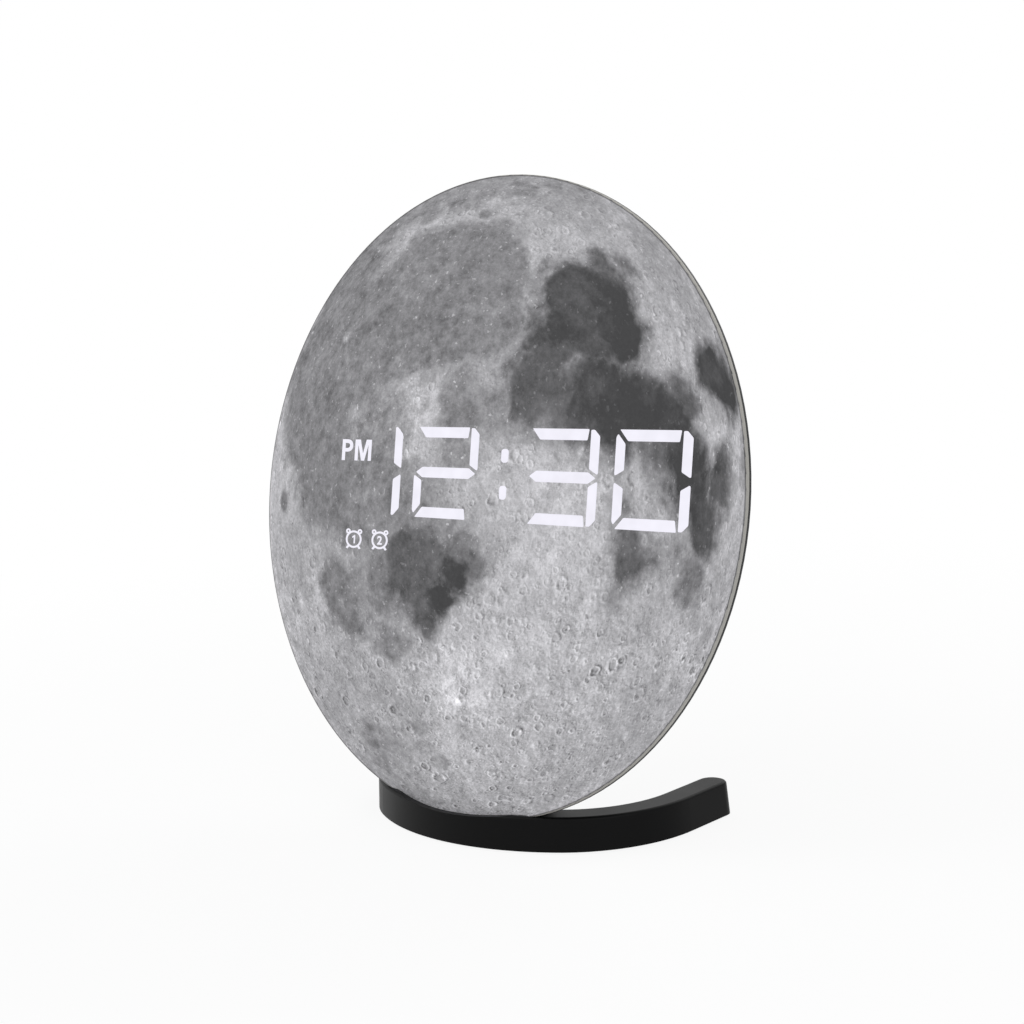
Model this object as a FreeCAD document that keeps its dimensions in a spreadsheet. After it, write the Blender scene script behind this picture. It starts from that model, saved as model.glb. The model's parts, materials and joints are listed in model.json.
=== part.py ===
import FreeCAD, Part
import math
import os
import Sketcher
from FreeCAD import Placement, Rotation, Vector

# A desk clock with a full-moon face on a curved stand. Lengths are in millimetres and angles in degrees.
# The origin is under the middle of the stand's front bar, +X is to the right, +Y to the back and +Z up.
# The clock head is drawn upright in a frame of its own, with its depth along Y and its face at zero
# depth, and is then tilted back and set on the stand.

doc = FreeCAD.newDocument("MoonDeskClock")
sheet = doc.addObject("Spreadsheet::Sheet", "Sizes")

# Driving dimensions, one spreadsheet cell each
SIZES = {
    # the round face and the frame behind it
    "face_radius": 80.0,
    "face_thickness": 1.1,
    "face_edge_round": 0.3,
    "lean_angle": 10.5,
    "tape_thickness": 0.15,
    "tape_width": 3.0,
    "tape_margin": 1.5,
    "flange_thickness": 0.65,
    "frame_wall_gap": 3.9,
    "frame_wall": 1.2,
    "frame_wall_depth": 4.5,
    "frame_boss_radius": 3.0,
    "frame_boss_depth": 7.1,
    # the rear cover, a shallow dish
    "head_depth": 16.0,
    "cover_rim_margin": 4.5,
    "cover_rim_depth": 1.4,
    "cover_taper": 11.5,
    "cover_wall": 1.8,
    "cover_rim_round": 3.0,
    "cover_back_round": 6.0,
    "cover_rib_height": 2.2,
    "cover_rib_thickness": 1.2,
    "cover_rib_pitch": 34.0,
    "cover_rib_length": 34.0,
    "cover_screw_x": 34.7,
    "cover_screw_z": 41.4,
    "cover_screw_sink": 3.4,
    # layout of the display and the back; its widths share out the reflector's width
    "left_space": 17.3,
    "right_space": 2.9,
    "digit_width": 22.2,
    "digit_height": 23.2,
    "digit_centre_z": 5.4,
    "digit_gap": 4.9,
    "colon_gap": 16.6,
    "bar_height": 2.65,
    "post_width": 3.1,
    "segment_gap": 0.45,
    "segment_corner": 1.1,
    "colon_width": 2.4,
    "colon_height": 3.4,
    "colon_rise": 4.6,
    "noon_mark_x": -45.4,
    "noon_mark_z": 10.6,
    "noon_mark_width": 12.2,
    "noon_mark_height": 6.2,
    "alarm_mark_x": -44.4,
    "alarm_mark_z": -13.0,
    "alarm_mark_pitch": 9.9,
    "alarm_mark_radius": 3.1,
    "mask_thickness": 0.2,
    "reflector_gap": 0.9,
    "reflector_left": -55.0,
    "reflector_bottom": -17.5,
    "reflector_top": 20.5,
    "reflector_depth": 6.5,
    "diffuser_depth": 1.5,
    "window_clearance": 0.2,
    "fit_clearance": 0.05,
    # the circuit board and what it carries
    "board_gap": 2.6,
    "board_left": -57.0,
    "board_bottom": -27.0,
    "board_top": 27.0,
    "board_thickness": 1.6,
    "board_screw_left": -51.0,
    "board_screw_right": 55.5,
    "board_screw_gap": 0.4,
    "led_width": 1.6,
    "led_height": 0.8,
    "chip_width": 9.0,
    "chip_height": 1.5,
    "chip_x": -2.0,
    "chip_z": -9.0,
    "chip_pitch": 16.0,
    "crystal_radius": 1.5,
    "crystal_length": 6.0,
    "crystal_z": -20.0,
    "sounder_radius": 7.0,
    "sounder_depth": 3.4,
    "sounder_x": -38.0,
    "sounder_z": -12.0,
    "socket_width": 9.0,
    "socket_height": 3.3,
    "socket_wall": 0.35,
    "socket_x": 42.0,
    "socket_z": -14.0,
    "socket_tongue": 0.7,
    "socket_inset": 0.3,
    # push buttons in the rear cover
    "button_pitch": 16.0,
    "button_first_x": -36.0,
    "button_z": 12.0,
    "button_radius": 3.6,
    "button_proud": 1.0,
    "button_flange_radius": 4.6,
    "button_flange_depth": 0.9,
    "button_travel": 0.7,
    "button_round": 0.4,
    "button_stop_gap": 0.1,
    "button_clearance": 0.08,
    "switch_width": 6.0,
    # coin cell and its turning door
    "cell_x": 0.0,
    "cell_z": 45.0,
    "cell_radius": 10.0,
    "cell_thickness": 3.2,
    "cell_clearance": 0.15,
    "contact_thickness": 0.4,
    "contact_width": 5.0,
    "holder_wall": 1.5,
    "holder_floor": 0.8,
    "holder_flange": 1.8,
    "door_radius": 12.0,
    "door_thickness": 1.4,
    "door_plug_radius": 10.1,
    "door_plug_depth": 1.8,
    "door_lug_depth": 0.8,
    "door_lug_reach": 1.3,
    "door_lug_width": 5.0,
    "door_coin_slot_width": 1.8,
    "door_coin_slot_length": 14.0,
    "door_coin_slot_depth": 0.8,
    "door_turn": 70.0,
    "door_seat_gap": 0.05,
    "door_clearance": 0.1,
    # screws
    "screw_shank_radius": 1.1,
    "screw_head_radius": 2.2,
    "screw_head_height": 1.6,
    "screw_hole_clearance": 0.25,
    "stand_screw_radius": 1.4,
    "stand_screw_head_radius": 2.8,
    "stand_screw_head_height": 1.9,
    "screw_bite": 5.0,
    # the curved stand
    "bar_width": 8.4,
    "base_top": 8.9,
    "base_bottom": 0.5,
    "base_half_width": 47.3,
    "base_front_arc": 59.2,
    "base_corner_arc": 35.4,
    "base_leg_end": 53.0,
    "base_draft": 3.0,
    "base_top_round": 0.8,
    "base_end_round": 3.6,
    "base_wall": 1.2,
    "base_roof": 2.2,
    "base_lip": 6.0,
    "base_lip_wall": 2.0,
    "base_end_wall": 1.2,
    "lip_scoop_radius": 150.0,
    "lip_scoop_depth": 1.15,
    "seat_depth": 3.8,
    "groove_clearance": 0.15,
    "pad_half_width": 17.0,
    "pad_back": 20.7,
    "pad_round": 4.0,
    "weight_clearance": 0.2,
    "weight_start_x": 21.0,
    "weight_end_y": 45.0,
    "base_cover_thickness": 1.2,
    "base_cover_screw_x": 13.0,
    "base_cover_screw_y": 47.5,
    "base_cover_screw_radius": 0.8,
    "base_cover_screw_head_radius": 1.5,
    "base_cover_screw_length": 3.2,
    "foot_radius": 2.3,
    "foot_height": 1.1,
    "foot_leg_y": 40.0,
    # the neck between stand and head
    "neck_half_width": 15.0,
    "neck_front": 6.7,
    "neck_top_front": 11.7,
    "neck_back": 19.7,
    "neck_top_back": 26.7,
    "neck_top": 31.5,
    "neck_round": 4.0,
    "neck_screw_x": 8.0,
    "neck_screw_margin": 10.0,
    "neck_screw_seat": 18.3,
    "stand_screw_x": 9.0,
    "stand_screw_y": 14.8,
    "stand_screw_reach": 14.0,
    "stand_screw_sink": 3.0,
    # one overrun for every cutting tool
    "overrun": 1.0,
}

for row, (alias, number) in enumerate(SIZES.items(), start=1):
    sheet.set(f"A{row}", alias)
    sheet.set(f"B{row}", str(number))
    sheet.setAlias(f"B{row}", alias)
doc.recompute()


class Size:
    """A length or angle that carries its number and its rule in the sheet."""

    def __init__(self, number, rule):
        self.number = number
        self.rule = rule

    def __add__(self, other):
        other = as_size(other)
        return Size(self.number + other.number, f"({self.rule} + {other.rule})")

    def __sub__(self, other):
        other = as_size(other)
        return Size(self.number - other.number, f"({self.rule} - {other.rule})")

    def __mul__(self, other):
        other = as_size(other)
        return Size(self.number * other.number, f"({self.rule} * {other.rule})")

    def __truediv__(self, other):
        other = as_size(other)
        return Size(self.number / other.number, f"({self.rule} / {other.rule})")

    def __neg__(self):
        return Size(-self.number, f"(0 - {self.rule})")


def as_size(value):
    if isinstance(value, Size):
        return value
    return Size(value, f"{value}")


def size(alias):
    return Size(float(sheet.get(alias)), f"Sizes.{alias}")


def cosine(angle):
    return Size(math.cos(math.radians(angle.number)), f"cos({angle.rule})")


def tangent(angle):
    return Size(math.tan(math.radians(angle.number)), f"tan({angle.rule})")


def square_root(value):
    return Size(math.sqrt(value.number), f"sqrt({value.rule})")


# Shared places, worked out from the sheet
ZERO = Size(0, "0")
overrun = size("overrun")
frame_front = size("face_thickness") + size("tape_thickness")
frame_back = frame_front + size("flange_thickness")
mask_back = size("face_thickness") + size("mask_thickness")
board_front = mask_back + size("reflector_depth")
board_back = board_front + size("board_thickness")
cover_inside = size("head_depth") - size("cover_wall")
cover_rim_radius = size("face_radius") - size("cover_rim_margin")
cover_back_radius = cover_rim_radius - size("cover_taper")
frame_wall_radius = cover_rim_radius - size("cover_wall") - size("frame_wall_gap")
frame_room = frame_wall_radius - size("frame_wall")
reflector_radius = frame_room - size("reflector_gap")
board_radius = frame_room - size("board_gap")
neck_screw_z = size("neck_screw_margin") - cover_back_radius
layout_width = (
    size("left_space")
    + size("digit_width") * 4
    + size("digit_gap") * 2
    + size("colon_gap")
    + size("right_space")
)
face_foot = size("base_lip") - size("bar_width") / 2
pad_back = face_foot + size("pad_back")
neck_back = face_foot + size("neck_back")
stand_screw_y = face_foot + size("stand_screw_y")
head_z = size("base_top") - size("seat_depth") + size("face_radius") * cosine(size("lean_angle"))
head_y = (
    face_foot
    + (size("base_top") - size("base_bottom")) * tangent(size("base_draft"))
    + (head_z - size("base_top")) * tangent(size("lean_angle"))
)

def on_face(alias):
    """A size of the layout, grown or shrunk so that the layout fills the reflector."""
    return size(alias) * (reflector_radius * 2 / layout_width)


board_boss_radius = size("frame_boss_radius") - size("window_clearance")
board_screw_top = on_face("reflector_top") + board_boss_radius + size("board_screw_gap")
board_screw_bottom = on_face("reflector_bottom") - board_boss_radius - size("board_screw_gap")

nodes = []


def bind(item, rules):
    """Tie properties of an object to the sheet."""
    for path, value in rules.items():
        item.setExpression(path, as_size(value).rule)


def keep(item, label):
    """Name a finished sub-part that stands in the clock's own frame."""
    item.Label = label
    nodes.append(item)
    return item


def keep_on_head(item, label):
    """Name a finished sub-part of the head and tilt it onto the stand."""
    item.Placement = head_placement()
    bind(item, {
        "Placement.Base.y": head_y,
        "Placement.Base.z": head_z,
        "Placement.Rotation.Angle": size("lean_angle"),
    })
    return keep(item, label)


def head_placement():
    tilt = Rotation(Vector(-1, 0, 0), size("lean_angle").number)
    return Placement(Vector(0, head_y.number, head_z.number), tilt)


def rod(name, radius, start, end, x=ZERO, z=ZERO):
    """A round bar along the depth direction."""
    item = doc.addObject("Part::Cylinder", name)
    item.Placement = Placement(Vector(), Rotation(Vector(-1, 0, 0), 90))
    bind(item, {
        "Radius": radius,
        "Height": end - start,
        "Placement.Base.x": x,
        "Placement.Base.y": start,
        "Placement.Base.z": z,
    })
    return item


def post(name, radius, bottom, top, x=ZERO, y=ZERO):
    """A round bar that stands upright."""
    item = doc.addObject("Part::Cylinder", name)
    bind(item, {
        "Radius": radius,
        "Height": top - bottom,
        "Placement.Base.x": x,
        "Placement.Base.y": y,
        "Placement.Base.z": bottom,
    })
    return item


def block(name, x, y, z):
    """A box between pairs of limits along each direction."""
    item = doc.addObject("Part::Box", name)
    bind(item, {
        "Length": x[1] - x[0],
        "Width": y[1] - y[0],
        "Height": z[1] - z[0],
        "Placement.Base.x": x[0],
        "Placement.Base.y": y[0],
        "Placement.Base.z": z[0],
    })
    return item


def centred_block(name, x, width, y, z, height):
    return block(name, (x - width / 2, x + width / 2), y, (z - height / 2, z + height / 2))


def fuse(name, shapes):
    item = doc.addObject("Part::MultiFuse", name)
    item.Shapes = shapes
    return item


def cut(name, base, tools):
    item = doc.addObject("Part::Cut", name)
    item.Base = base
    item.Tool = tools[0] if len(tools) == 1 else fuse(name + "_tools", tools)
    return item


def common(name, shapes):
    item = doc.addObject("Part::MultiCommon", name)
    item.Shapes = shapes
    return item


def group(name, shapes):
    """Separate solids that share one node."""
    item = doc.addObject("Part::Compound", name)
    item.Links = shapes
    return item


def new_body(name):
    return doc.addObject("PartDesign::Body", name)


def new_sketch(body, name, role, offset=None):
    """A sketch on one of the body's own origin planes."""
    sketch = body.newObject("Sketcher::SketchObject", name)
    plane = [item for item in body.Origin.OriginFeatures if item.Role == role][0]
    sketch.AttachmentSupport = (plane, [""])
    sketch.MapMode = "FlatFace"
    if offset is not None:
        sketch.setExpression("AttachmentOffset.Base.z", offset.rule)
    return sketch


def tie(sketch, kind, geometry, point, value):
    """Fix one coordinate of a sketch point by a rule of the sheet."""
    index = sketch.addConstraint(Sketcher.Constraint(kind, geometry, point, value.number))
    sketch.setExpression(f"Constraints[{index}]", value.rule)


def place_point(sketch, geometry, point, x, y):
    for kind, value, axis in (("DistanceX", x, -2), ("DistanceY", y, -1)):
        value = as_size(value)
        if value.number == 0:
            sketch.addConstraint(Sketcher.Constraint("PointOnObject", geometry, point, axis))
        else:
            tie(sketch, kind, geometry, point, value)


def draw_polygon(sketch, corners):
    """A closed outline of straight lines through the corners."""
    first = sketch.GeometryCount
    count = len(corners)
    points = [Vector(as_size(x).number, as_size(y).number, 0) for x, y in corners]
    for index in range(count):
        sketch.addGeometry(Part.LineSegment(points[index], points[(index + 1) % count]), False)
    for index in range(count):
        after = first + (index + 1) % count
        sketch.addConstraint(Sketcher.Constraint("Coincident", first + index, 2, after, 1))
    for index, (x, y) in enumerate(corners):
        place_point(sketch, first + index, 1, x, y)


def draw_circle(sketch, x, y, radius):
    x, y = as_size(x), as_size(y)
    circle = Part.Circle(Vector(x.number, y.number, 0), Vector(0, 0, 1), radius.number)
    index = sketch.addGeometry(circle, False)
    place_point(sketch, index, 3, x, y)
    rule = sketch.addConstraint(Sketcher.Constraint("Radius", index, radius.number))
    sketch.setExpression(f"Constraints[{rule}]", radius.rule)


def revolve(body, name, corners):
    """Turn a profile of radius and depth about the depth axis."""
    sketch = new_sketch(body, name + "_profile", "XY_Plane")
    draw_polygon(sketch, corners)
    feature = body.newObject("PartDesign::Revolution", name)
    feature.Profile = sketch
    feature.ReferenceAxis = (sketch, ["V_Axis"])
    feature.Angle = 360
    doc.recompute()
    return feature


def pad(body, sketch, name, length, reverse=False):
    feature = body.newObject("PartDesign::Pad", name)
    feature.Profile = sketch
    feature.Reversed = reverse
    bind(feature, {"Length": length})
    doc.recompute()
    return feature


def edge_names(shape, test):
    """Names of the edges whose bounding box passes a test."""
    return [f"Edge{i}" for i, edge in enumerate(shape.Edges, start=1) if test(edge.BoundBox)]


def near(value, target):
    return abs(value - target) < 1e-4


def fillet(body, base, name, edges, radius):
    feature = body.newObject("PartDesign::Fillet", name)
    feature.Base = (base, edges)
    bind(feature, {"Radius": radius})
    doc.recompute()
    return feature


def round_edge_at(body, base, name, radius, places):
    """Round the circular edges of a turned body, each found by its radius and depth."""

    def chosen(box):
        return any(
            near(box.YMin, depth.number) and near(box.YMax, depth.number)
            and near(box.XMax, circle.number)
            for circle, depth in places
        )

    return fillet(body, base, name, edge_names(base.Shape, chosen), radius)


# Moon faceplate: a thin moulded disc with rounded rims, which carries the print
def make_faceplate():
    body = new_body("Faceplate")
    radius, thickness = size("face_radius"), size("face_thickness")
    plate = revolve(body, "FaceDisc", [
        (ZERO, ZERO), (radius, ZERO), (radius, thickness), (ZERO, thickness),
    ])
    round_edge_at(body, plate, "FaceRims", size("face_edge_round"), [(radius, ZERO)])
    keep_on_head(body, "moon_faceplate")


# Double-sided tape: a flat ring between the faceplate and the frame
def make_tape():
    body = new_body("Tape")
    outer = size("face_radius") - size("tape_margin")
    inner = outer - size("tape_width")
    front = size("face_thickness")
    revolve(body, "TapeRing", [
        (inner, front), (outer, front), (outer, frame_front), (inner, frame_front),
    ])
    keep_on_head(body, "faceplate_tape")


def round_sided(name, radius, x, y, z):
    """A block whose far corners follow the round head."""
    return common(name, [block(name + "_block", x, y, z), rod(name + "_round", radius, y[0], y[1])])


def display_block(name, start, end, gap=ZERO):
    """The space that the reflector and the light mask fill, grown by a clearance."""
    return round_sided(
        name,
        reflector_radius + gap,
        (on_face("reflector_left") - gap, reflector_radius + gap),
        (start, end),
        (on_face("reflector_bottom") - gap, on_face("reflector_top") + gap),
    )


def cover_screw_places():
    for side in (-1, 1):
        for level in (-1, 1):
            yield on_face("cover_screw_x") * side, on_face("cover_screw_z") * level


def board_screw_places():
    for x in (on_face("board_screw_left"), on_face("board_screw_right")):
        for z in (board_screw_bottom, board_screw_top):
            yield x, z


# Mid frame: thin flange with a locating wall, bosses for the screws and the display window
def make_mid_frame():
    body = new_body("FrameRing")
    wall_outer = frame_wall_radius
    wall_inner = wall_outer - size("frame_wall")
    wall_back = frame_back + size("frame_wall_depth")
    revolve(body, "FrameFlange", [
        (ZERO, frame_front), (size("face_radius"), frame_front), (size("face_radius"), frame_back),
        (wall_outer, frame_back), (wall_outer, wall_back), (wall_inner, wall_back),
        (wall_inner, frame_back), (ZERO, frame_back),
    ])
    boss = size("frame_boss_radius")
    boss_back = frame_back + size("frame_boss_depth")
    solids = [body]
    gap = size("window_clearance")
    holes = [display_block("FrameWindow", frame_front - overrun, frame_back + overrun, gap)]
    hole = size("screw_shank_radius") + size("fit_clearance")
    for index, (x, z) in enumerate(cover_screw_places()):
        solids.append(rod(f"FrameCoverBoss{index}", boss, frame_front, boss_back, x, z))
        bottom = boss_back - size("screw_bite")
        holes.append(rod(f"FrameCoverHole{index}", hole, bottom, boss_back + overrun, x, z))
    for index, (x, z) in enumerate(board_screw_places()):
        solids.append(rod(f"FrameBoardBoss{index}", board_boss_radius, frame_front, board_front, x, z))
        bottom = board_front - size("screw_bite")
        holes.append(rod(f"FrameBoardHole{index}", hole, bottom, board_front + overrun, x, z))
    keep_on_head(cut("MidFrame", fuse("FrameSolids", solids), holes), "mid_frame")


# Segment shapes, as corner lists inside one digit cell that starts at zero
def segment_outlines():
    wide, high = on_face("digit_width").number, on_face("digit_height").number
    bar, post_width = on_face("bar_height").number, on_face("post_width").number
    gap, corner = on_face("segment_gap").number, on_face("segment_corner").number
    middle = high / 2
    slant = post_width + gap
    upper_bar = [
        (corner + gap, high), (wide - corner - gap, high),
        (wide - slant, high - bar), (slant, high - bar),
    ]
    upper_post = [
        (wide, high - corner - gap), (wide, middle + corner), (wide - post_width / 2, middle + gap),
        (wide - post_width, middle + bar / 2 + gap), (wide - post_width, high - bar - gap),
    ]
    middle_bar = [
        (corner + gap, middle), (slant, middle + bar / 2), (wide - slant, middle + bar / 2),
        (wide - corner - gap, middle), (wide - slant, middle - bar / 2), (slant, middle - bar / 2),
    ]

    def mirror_x(points):
        return [(wide - x, z) for x, z in points]

    def mirror_z(points):
        return [(x, high - z) for x, z in points]

    return {
        "a": upper_bar,
        "b": upper_post,
        "c": mirror_z(upper_post),
        "d": mirror_z(upper_bar),
        "e": mirror_x(mirror_z(upper_post)),
        "f": mirror_x(upper_post),
        "g": middle_bar,
    }


def digit_lefts():
    """Left edges of the four digit cells."""
    pitch = on_face("digit_width") + on_face("digit_gap")
    first = on_face("left_space") - reflector_radius
    third = first + pitch + on_face("digit_width") + on_face("colon_gap")
    return [first, first + pitch, third, third + pitch]


# The time on show: 12:30. The leading cell has only the two segments of a one.
FITTED = ["bc", "abcdefg", "abcdefg", "abcdefg"]
SHOWN = ["bc", "abdeg", "abcdg", "abcdef"]


def prism(points, start, end):
    """A plate with the outline of the points in width and height, between two depths."""
    corners = [Vector(x, start, z) for x, z in points]
    face = Part.Face(Part.makePolygon(corners + corners[:1]))
    return face.extrude(Vector(0, end - start, 0))


def digit_prisms(start, end, chosen, shrink=0):
    """Solids of the chosen segments, drawn in by a clearance on every side."""
    bottom = on_face("digit_centre_z").number - on_face("digit_height").number / 2
    solids = []
    for left, letters in zip(digit_lefts(), chosen):
        for letter in letters:
            points = [(left.number + x, bottom + z) for x, z in segment_outlines()[letter]]
            solids.append(prism(drawn_in(points, shrink), start, end))
    return solids


def drawn_in(points, inset):
    """Move every corner towards the middle of its outline."""
    middle_x = sum(x for x, z in points) / len(points)
    middle_z = sum(z for x, z in points) / len(points)
    moved = []
    for x, z in points:
        reach = math.hypot(x - middle_x, z - middle_z)
        share = (reach - inset) / reach
        moved.append((middle_x + (x - middle_x) * share, middle_z + (z - middle_z) * share))
    return moved


def colon_places():
    x = digit_lefts()[2].number - on_face("colon_gap").number / 2
    for side in (-1, 1):
        yield x, on_face("digit_centre_z").number + side * on_face("colon_rise").number


def mark_prisms(start, end, inset=0):
    """Colon pills, the afternoon mark and the two alarm marks as plain windows."""
    solids = []
    half_wide = on_face("colon_width").number / 2 - inset
    half_high = on_face("colon_height").number / 2 - inset
    for x, z in colon_places():
        points = [
            (x - half_wide, z - half_high), (x + half_wide, z - half_high),
            (x + half_wide, z + half_high), (x - half_wide, z + half_high),
        ]
        solids.append(prism(points, start, end))
    half_wide = on_face("noon_mark_width").number / 2 - inset
    half_high = on_face("noon_mark_height").number / 2 - inset
    x, z = on_face("noon_mark_x").number, on_face("noon_mark_z").number
    points = [
        (x - half_wide, z - half_high), (x + half_wide, z - half_high),
        (x + half_wide, z + half_high), (x - half_wide, z + half_high),
    ]
    solids.append(prism(points, start, end))
    for index in range(2):
        x = on_face("alarm_mark_x").number + index * on_face("alarm_mark_pitch").number
        base = Vector(x, start, on_face("alarm_mark_z").number)
        radius = on_face("alarm_mark_radius").number - inset
        solids.append(Part.makeCylinder(radius, end - start, base, Vector(0, 1, 0)))
    return solids


def shape_object(name, solids):
    """An object whose shape is worked out from the sheet in this script."""
    item = doc.addObject("Part::Feature", name)
    item.Shape = Part.makeCompound(solids)
    return item


# Light mask: black foil behind the faceplate, open at every segment
def make_mask():
    front, back = size("face_thickness"), mask_back
    foil = display_block("MaskSheet", front, back)
    start, end = (front - overrun).number, (back + overrun).number
    windows = shape_object("MaskWindows", digit_prisms(start, end, FITTED) + mark_prisms(start, end))
    keep_on_head(cut("LightMask", foil, [windows]), "light_mask")


# Reflector: white block with a light well through it behind every segment
def make_reflector():
    front, back = mask_back, board_front
    solid = display_block("ReflectorBlock", front, back)
    start, end = (front - overrun).number, (back + overrun).number
    wells = shape_object("ReflectorWells", digit_prisms(start, end, FITTED) + mark_prisms(start, end))
    keep_on_head(cut("Reflector", solid, [wells]), "display_reflector")


# Diffusers: milky plugs in the front of the wells, lit and unlit ones apart
def make_diffusers():
    start = mask_back.number
    end = start + size("diffuser_depth").number
    inset = size("fit_clearance").number
    lit = digit_prisms(start, end, SHOWN, inset) + mark_prisms(start, end, inset)
    dark_letters = ["".join(sorted(set(a) - set(b))) for a, b in zip(FITTED, SHOWN)]
    dark = digit_prisms(start, end, dark_letters, inset)
    keep_on_head(shape_object("LitSegments", lit), "lit_segments")
    keep_on_head(shape_object("DarkSegments", dark), "dark_segments")


# Main board: one circuit board behind the reflector, held by four screws
def make_board():
    board = round_sided(
        "BoardSheet",
        board_radius,
        (on_face("board_left"), board_radius),
        (board_front, board_back),
        (on_face("board_bottom"), on_face("board_top")),
    )
    hole = size("screw_shank_radius") + size("screw_hole_clearance")
    holes = [
        rod(f"BoardHole{index}", hole, board_front - overrun, board_back + overrun, x, z)
        for index, (x, z) in enumerate(board_screw_places())
    ]
    keep_on_head(cut("MainBoard", board, holes), "main_board")


# Light-emitting chips: one on the board behind each segment and mark
def make_leds():
    half = size("led_width").number / 2
    front = (board_front - size("led_height")).number
    places = []
    for solid in digit_prisms(front, board_front.number, FITTED) + mark_prisms(front, board_front.number):
        places.append(solid.CenterOfMass)
    chips = [
        Part.makeBox(2 * half, size("led_height").number, 2 * half,
                     Vector(place.x - half, front, place.z - half))
        for place in places
    ]
    keep_on_head(shape_object("SegmentLeds", chips), "segment_leds")


# Controller and display driver: two flat chips on the back of the board
def make_chips():
    half = size("chip_width") / 2
    chips = []
    for index in range(2):
        x = on_face("chip_x") + on_face("chip_pitch") * index
        z = on_face("chip_z")
        chips.append(block(f"Chip{index}", (x - half, x + half),
                           (board_back, board_back + size("chip_height")), (z - half, z + half)))
    keep_on_head(group("Chips", chips), "controller_chips")


# Watch crystal: a small can that lies on the board
def make_crystal():
    item = doc.addObject("Part::Cylinder", "Crystal")
    item.Placement = Placement(Vector(), Rotation(Vector(0, 1, 0), 90))
    bind(item, {
        "Radius": size("crystal_radius"),
        "Height": size("crystal_length"),
        "Placement.Base.x": on_face("chip_x"),
        "Placement.Base.y": board_back + size("crystal_radius"),
        "Placement.Base.z": on_face("crystal_z"),
    })
    keep_on_head(group("CrystalCan", [item]), "clock_crystal")


def button_names():
    return ["mode_button", "alarm_button", "up_button", "down_button", "light_button"]


def button_x(index):
    return on_face("button_first_x") + on_face("button_pitch") * index


button_flange_back = cover_inside - size("button_stop_gap")
button_flange_front = button_flange_back - size("button_flange_depth")
switch_top = button_flange_front - size("button_travel") - size("button_stop_gap")


# Push switches: one on the board under each button
def make_switches():
    solids = [
        centred_block(f"Switch{index}", button_x(index), size("switch_width"),
                      (board_back, switch_top), on_face("button_z"), size("switch_width"))
        for index in range(len(button_names()))
    ]
    keep_on_head(group("Switches", solids), "button_switches")


# Push buttons: a cap through the cover, with a flange behind it that stops it falling out
def make_buttons():
    radius = size("button_radius")
    back = size("head_depth") + size("button_proud")
    for index, label in enumerate(button_names()):
        body = new_body(f"Button{index}")
        cap = revolve(body, f"ButtonCap{index}", [
            (ZERO, button_flange_front), (size("button_flange_radius"), button_flange_front),
            (size("button_flange_radius"), button_flange_back), (radius, button_flange_back),
            (radius, back), (ZERO, back),
        ])
        round_edge_at(body, cap, f"ButtonEdge{index}", size("button_round"), [(radius, back)])
        keep_on_head(moved_body(f"ButtonAt{index}", body, button_x(index), on_face("button_z")), label)


def moved_body(name, body, x, z):
    """Shift a turned body sideways within the head."""
    bind(body, {"Placement.Base.x": x, "Placement.Base.z": z})
    return group(name, [body])


# Sounder: a round piezo can on the board, behind the sound slots
def make_sounder():
    can = rod("SounderCan", size("sounder_radius"), board_back,
              board_back + size("sounder_depth"), on_face("sounder_x"), on_face("sounder_z"))
    keep_on_head(group("Sounder", [can]), "sounder")


# Power socket: an upright metal shell with a tongue inside, open to the back
def make_socket():
    wide, high, wall = size("socket_width"), size("socket_height"), size("socket_wall")
    x, z = on_face("socket_x"), on_face("socket_z")
    end = size("head_depth") - size("socket_inset")
    shell = centred_block("SocketShell", x, wide, (board_back, end), z, high)
    floor = board_back + size("chip_height")
    hollow = centred_block("SocketHollow", x, wide - wall * 2, (floor, end + overrun),
                           z, high - wall * 2)
    tongue = centred_block("SocketTongue", x, wide - wall * 6, (floor - wall, end - wall * 2),
                           z, size("socket_tongue"))
    keep_on_head(fuse("PowerSocket", [cut("SocketCan", shell, [hollow]), tongue]), "power_socket")


def screw(name, seat, tip, x, z, shank, head, head_height):
    """A pan-head screw along the depth direction, its head behind the seat."""
    return fuse(name, [
        rod(name + "_shank", shank, tip, seat, x, z),
        rod(name + "_head", head, seat, seat + head_height, x, z),
    ])


def small_screw(name, seat, tip, x, z):
    return screw(name, seat, tip, x, z, size("screw_shank_radius"), size("screw_head_radius"),
                 size("screw_head_height"))


# Board screws: four, through the board into the frame's bosses
def make_board_screws():
    tip = board_front - size("screw_bite") + size("fit_clearance")
    solids = [
        small_screw(f"BoardScrew{index}", board_back, tip, x, z)
        for index, (x, z) in enumerate(board_screw_places())
    ]
    keep_on_head(group("BoardScrews", solids), "board_screws")


cover_screw_seat = size("head_depth") - size("cover_screw_sink")


# Cover screws: four, sunk in the rear cover
def make_cover_screws():
    tip = frame_back + size("frame_boss_depth") - size("screw_bite") + size("fit_clearance")
    solids = [
        small_screw(f"CoverScrew{index}", cover_screw_seat, tip, x, z)
        for index, (x, z) in enumerate(cover_screw_places())
    ]
    keep_on_head(group("CoverScrews", solids), "cover_screws")


def dish_profile(solid):
    """Radius and depth corners of the rear cover, solid or as a shell."""
    rim, back = cover_rim_radius, cover_back_radius
    wall = size("cover_wall")
    shoulder = frame_back + size("cover_rim_depth")
    depth = size("head_depth")
    outside = [(rim, frame_back), (rim, shoulder), (back, depth), (ZERO, depth)]
    if solid:
        return outside + [(ZERO, frame_back)]
    share = wall * 2 / 5
    inside = [
        (ZERO, depth - wall), (back - share, depth - wall),
        (rim - wall, shoulder - share), (rim - wall, frame_back),
    ]
    return outside + inside


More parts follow.
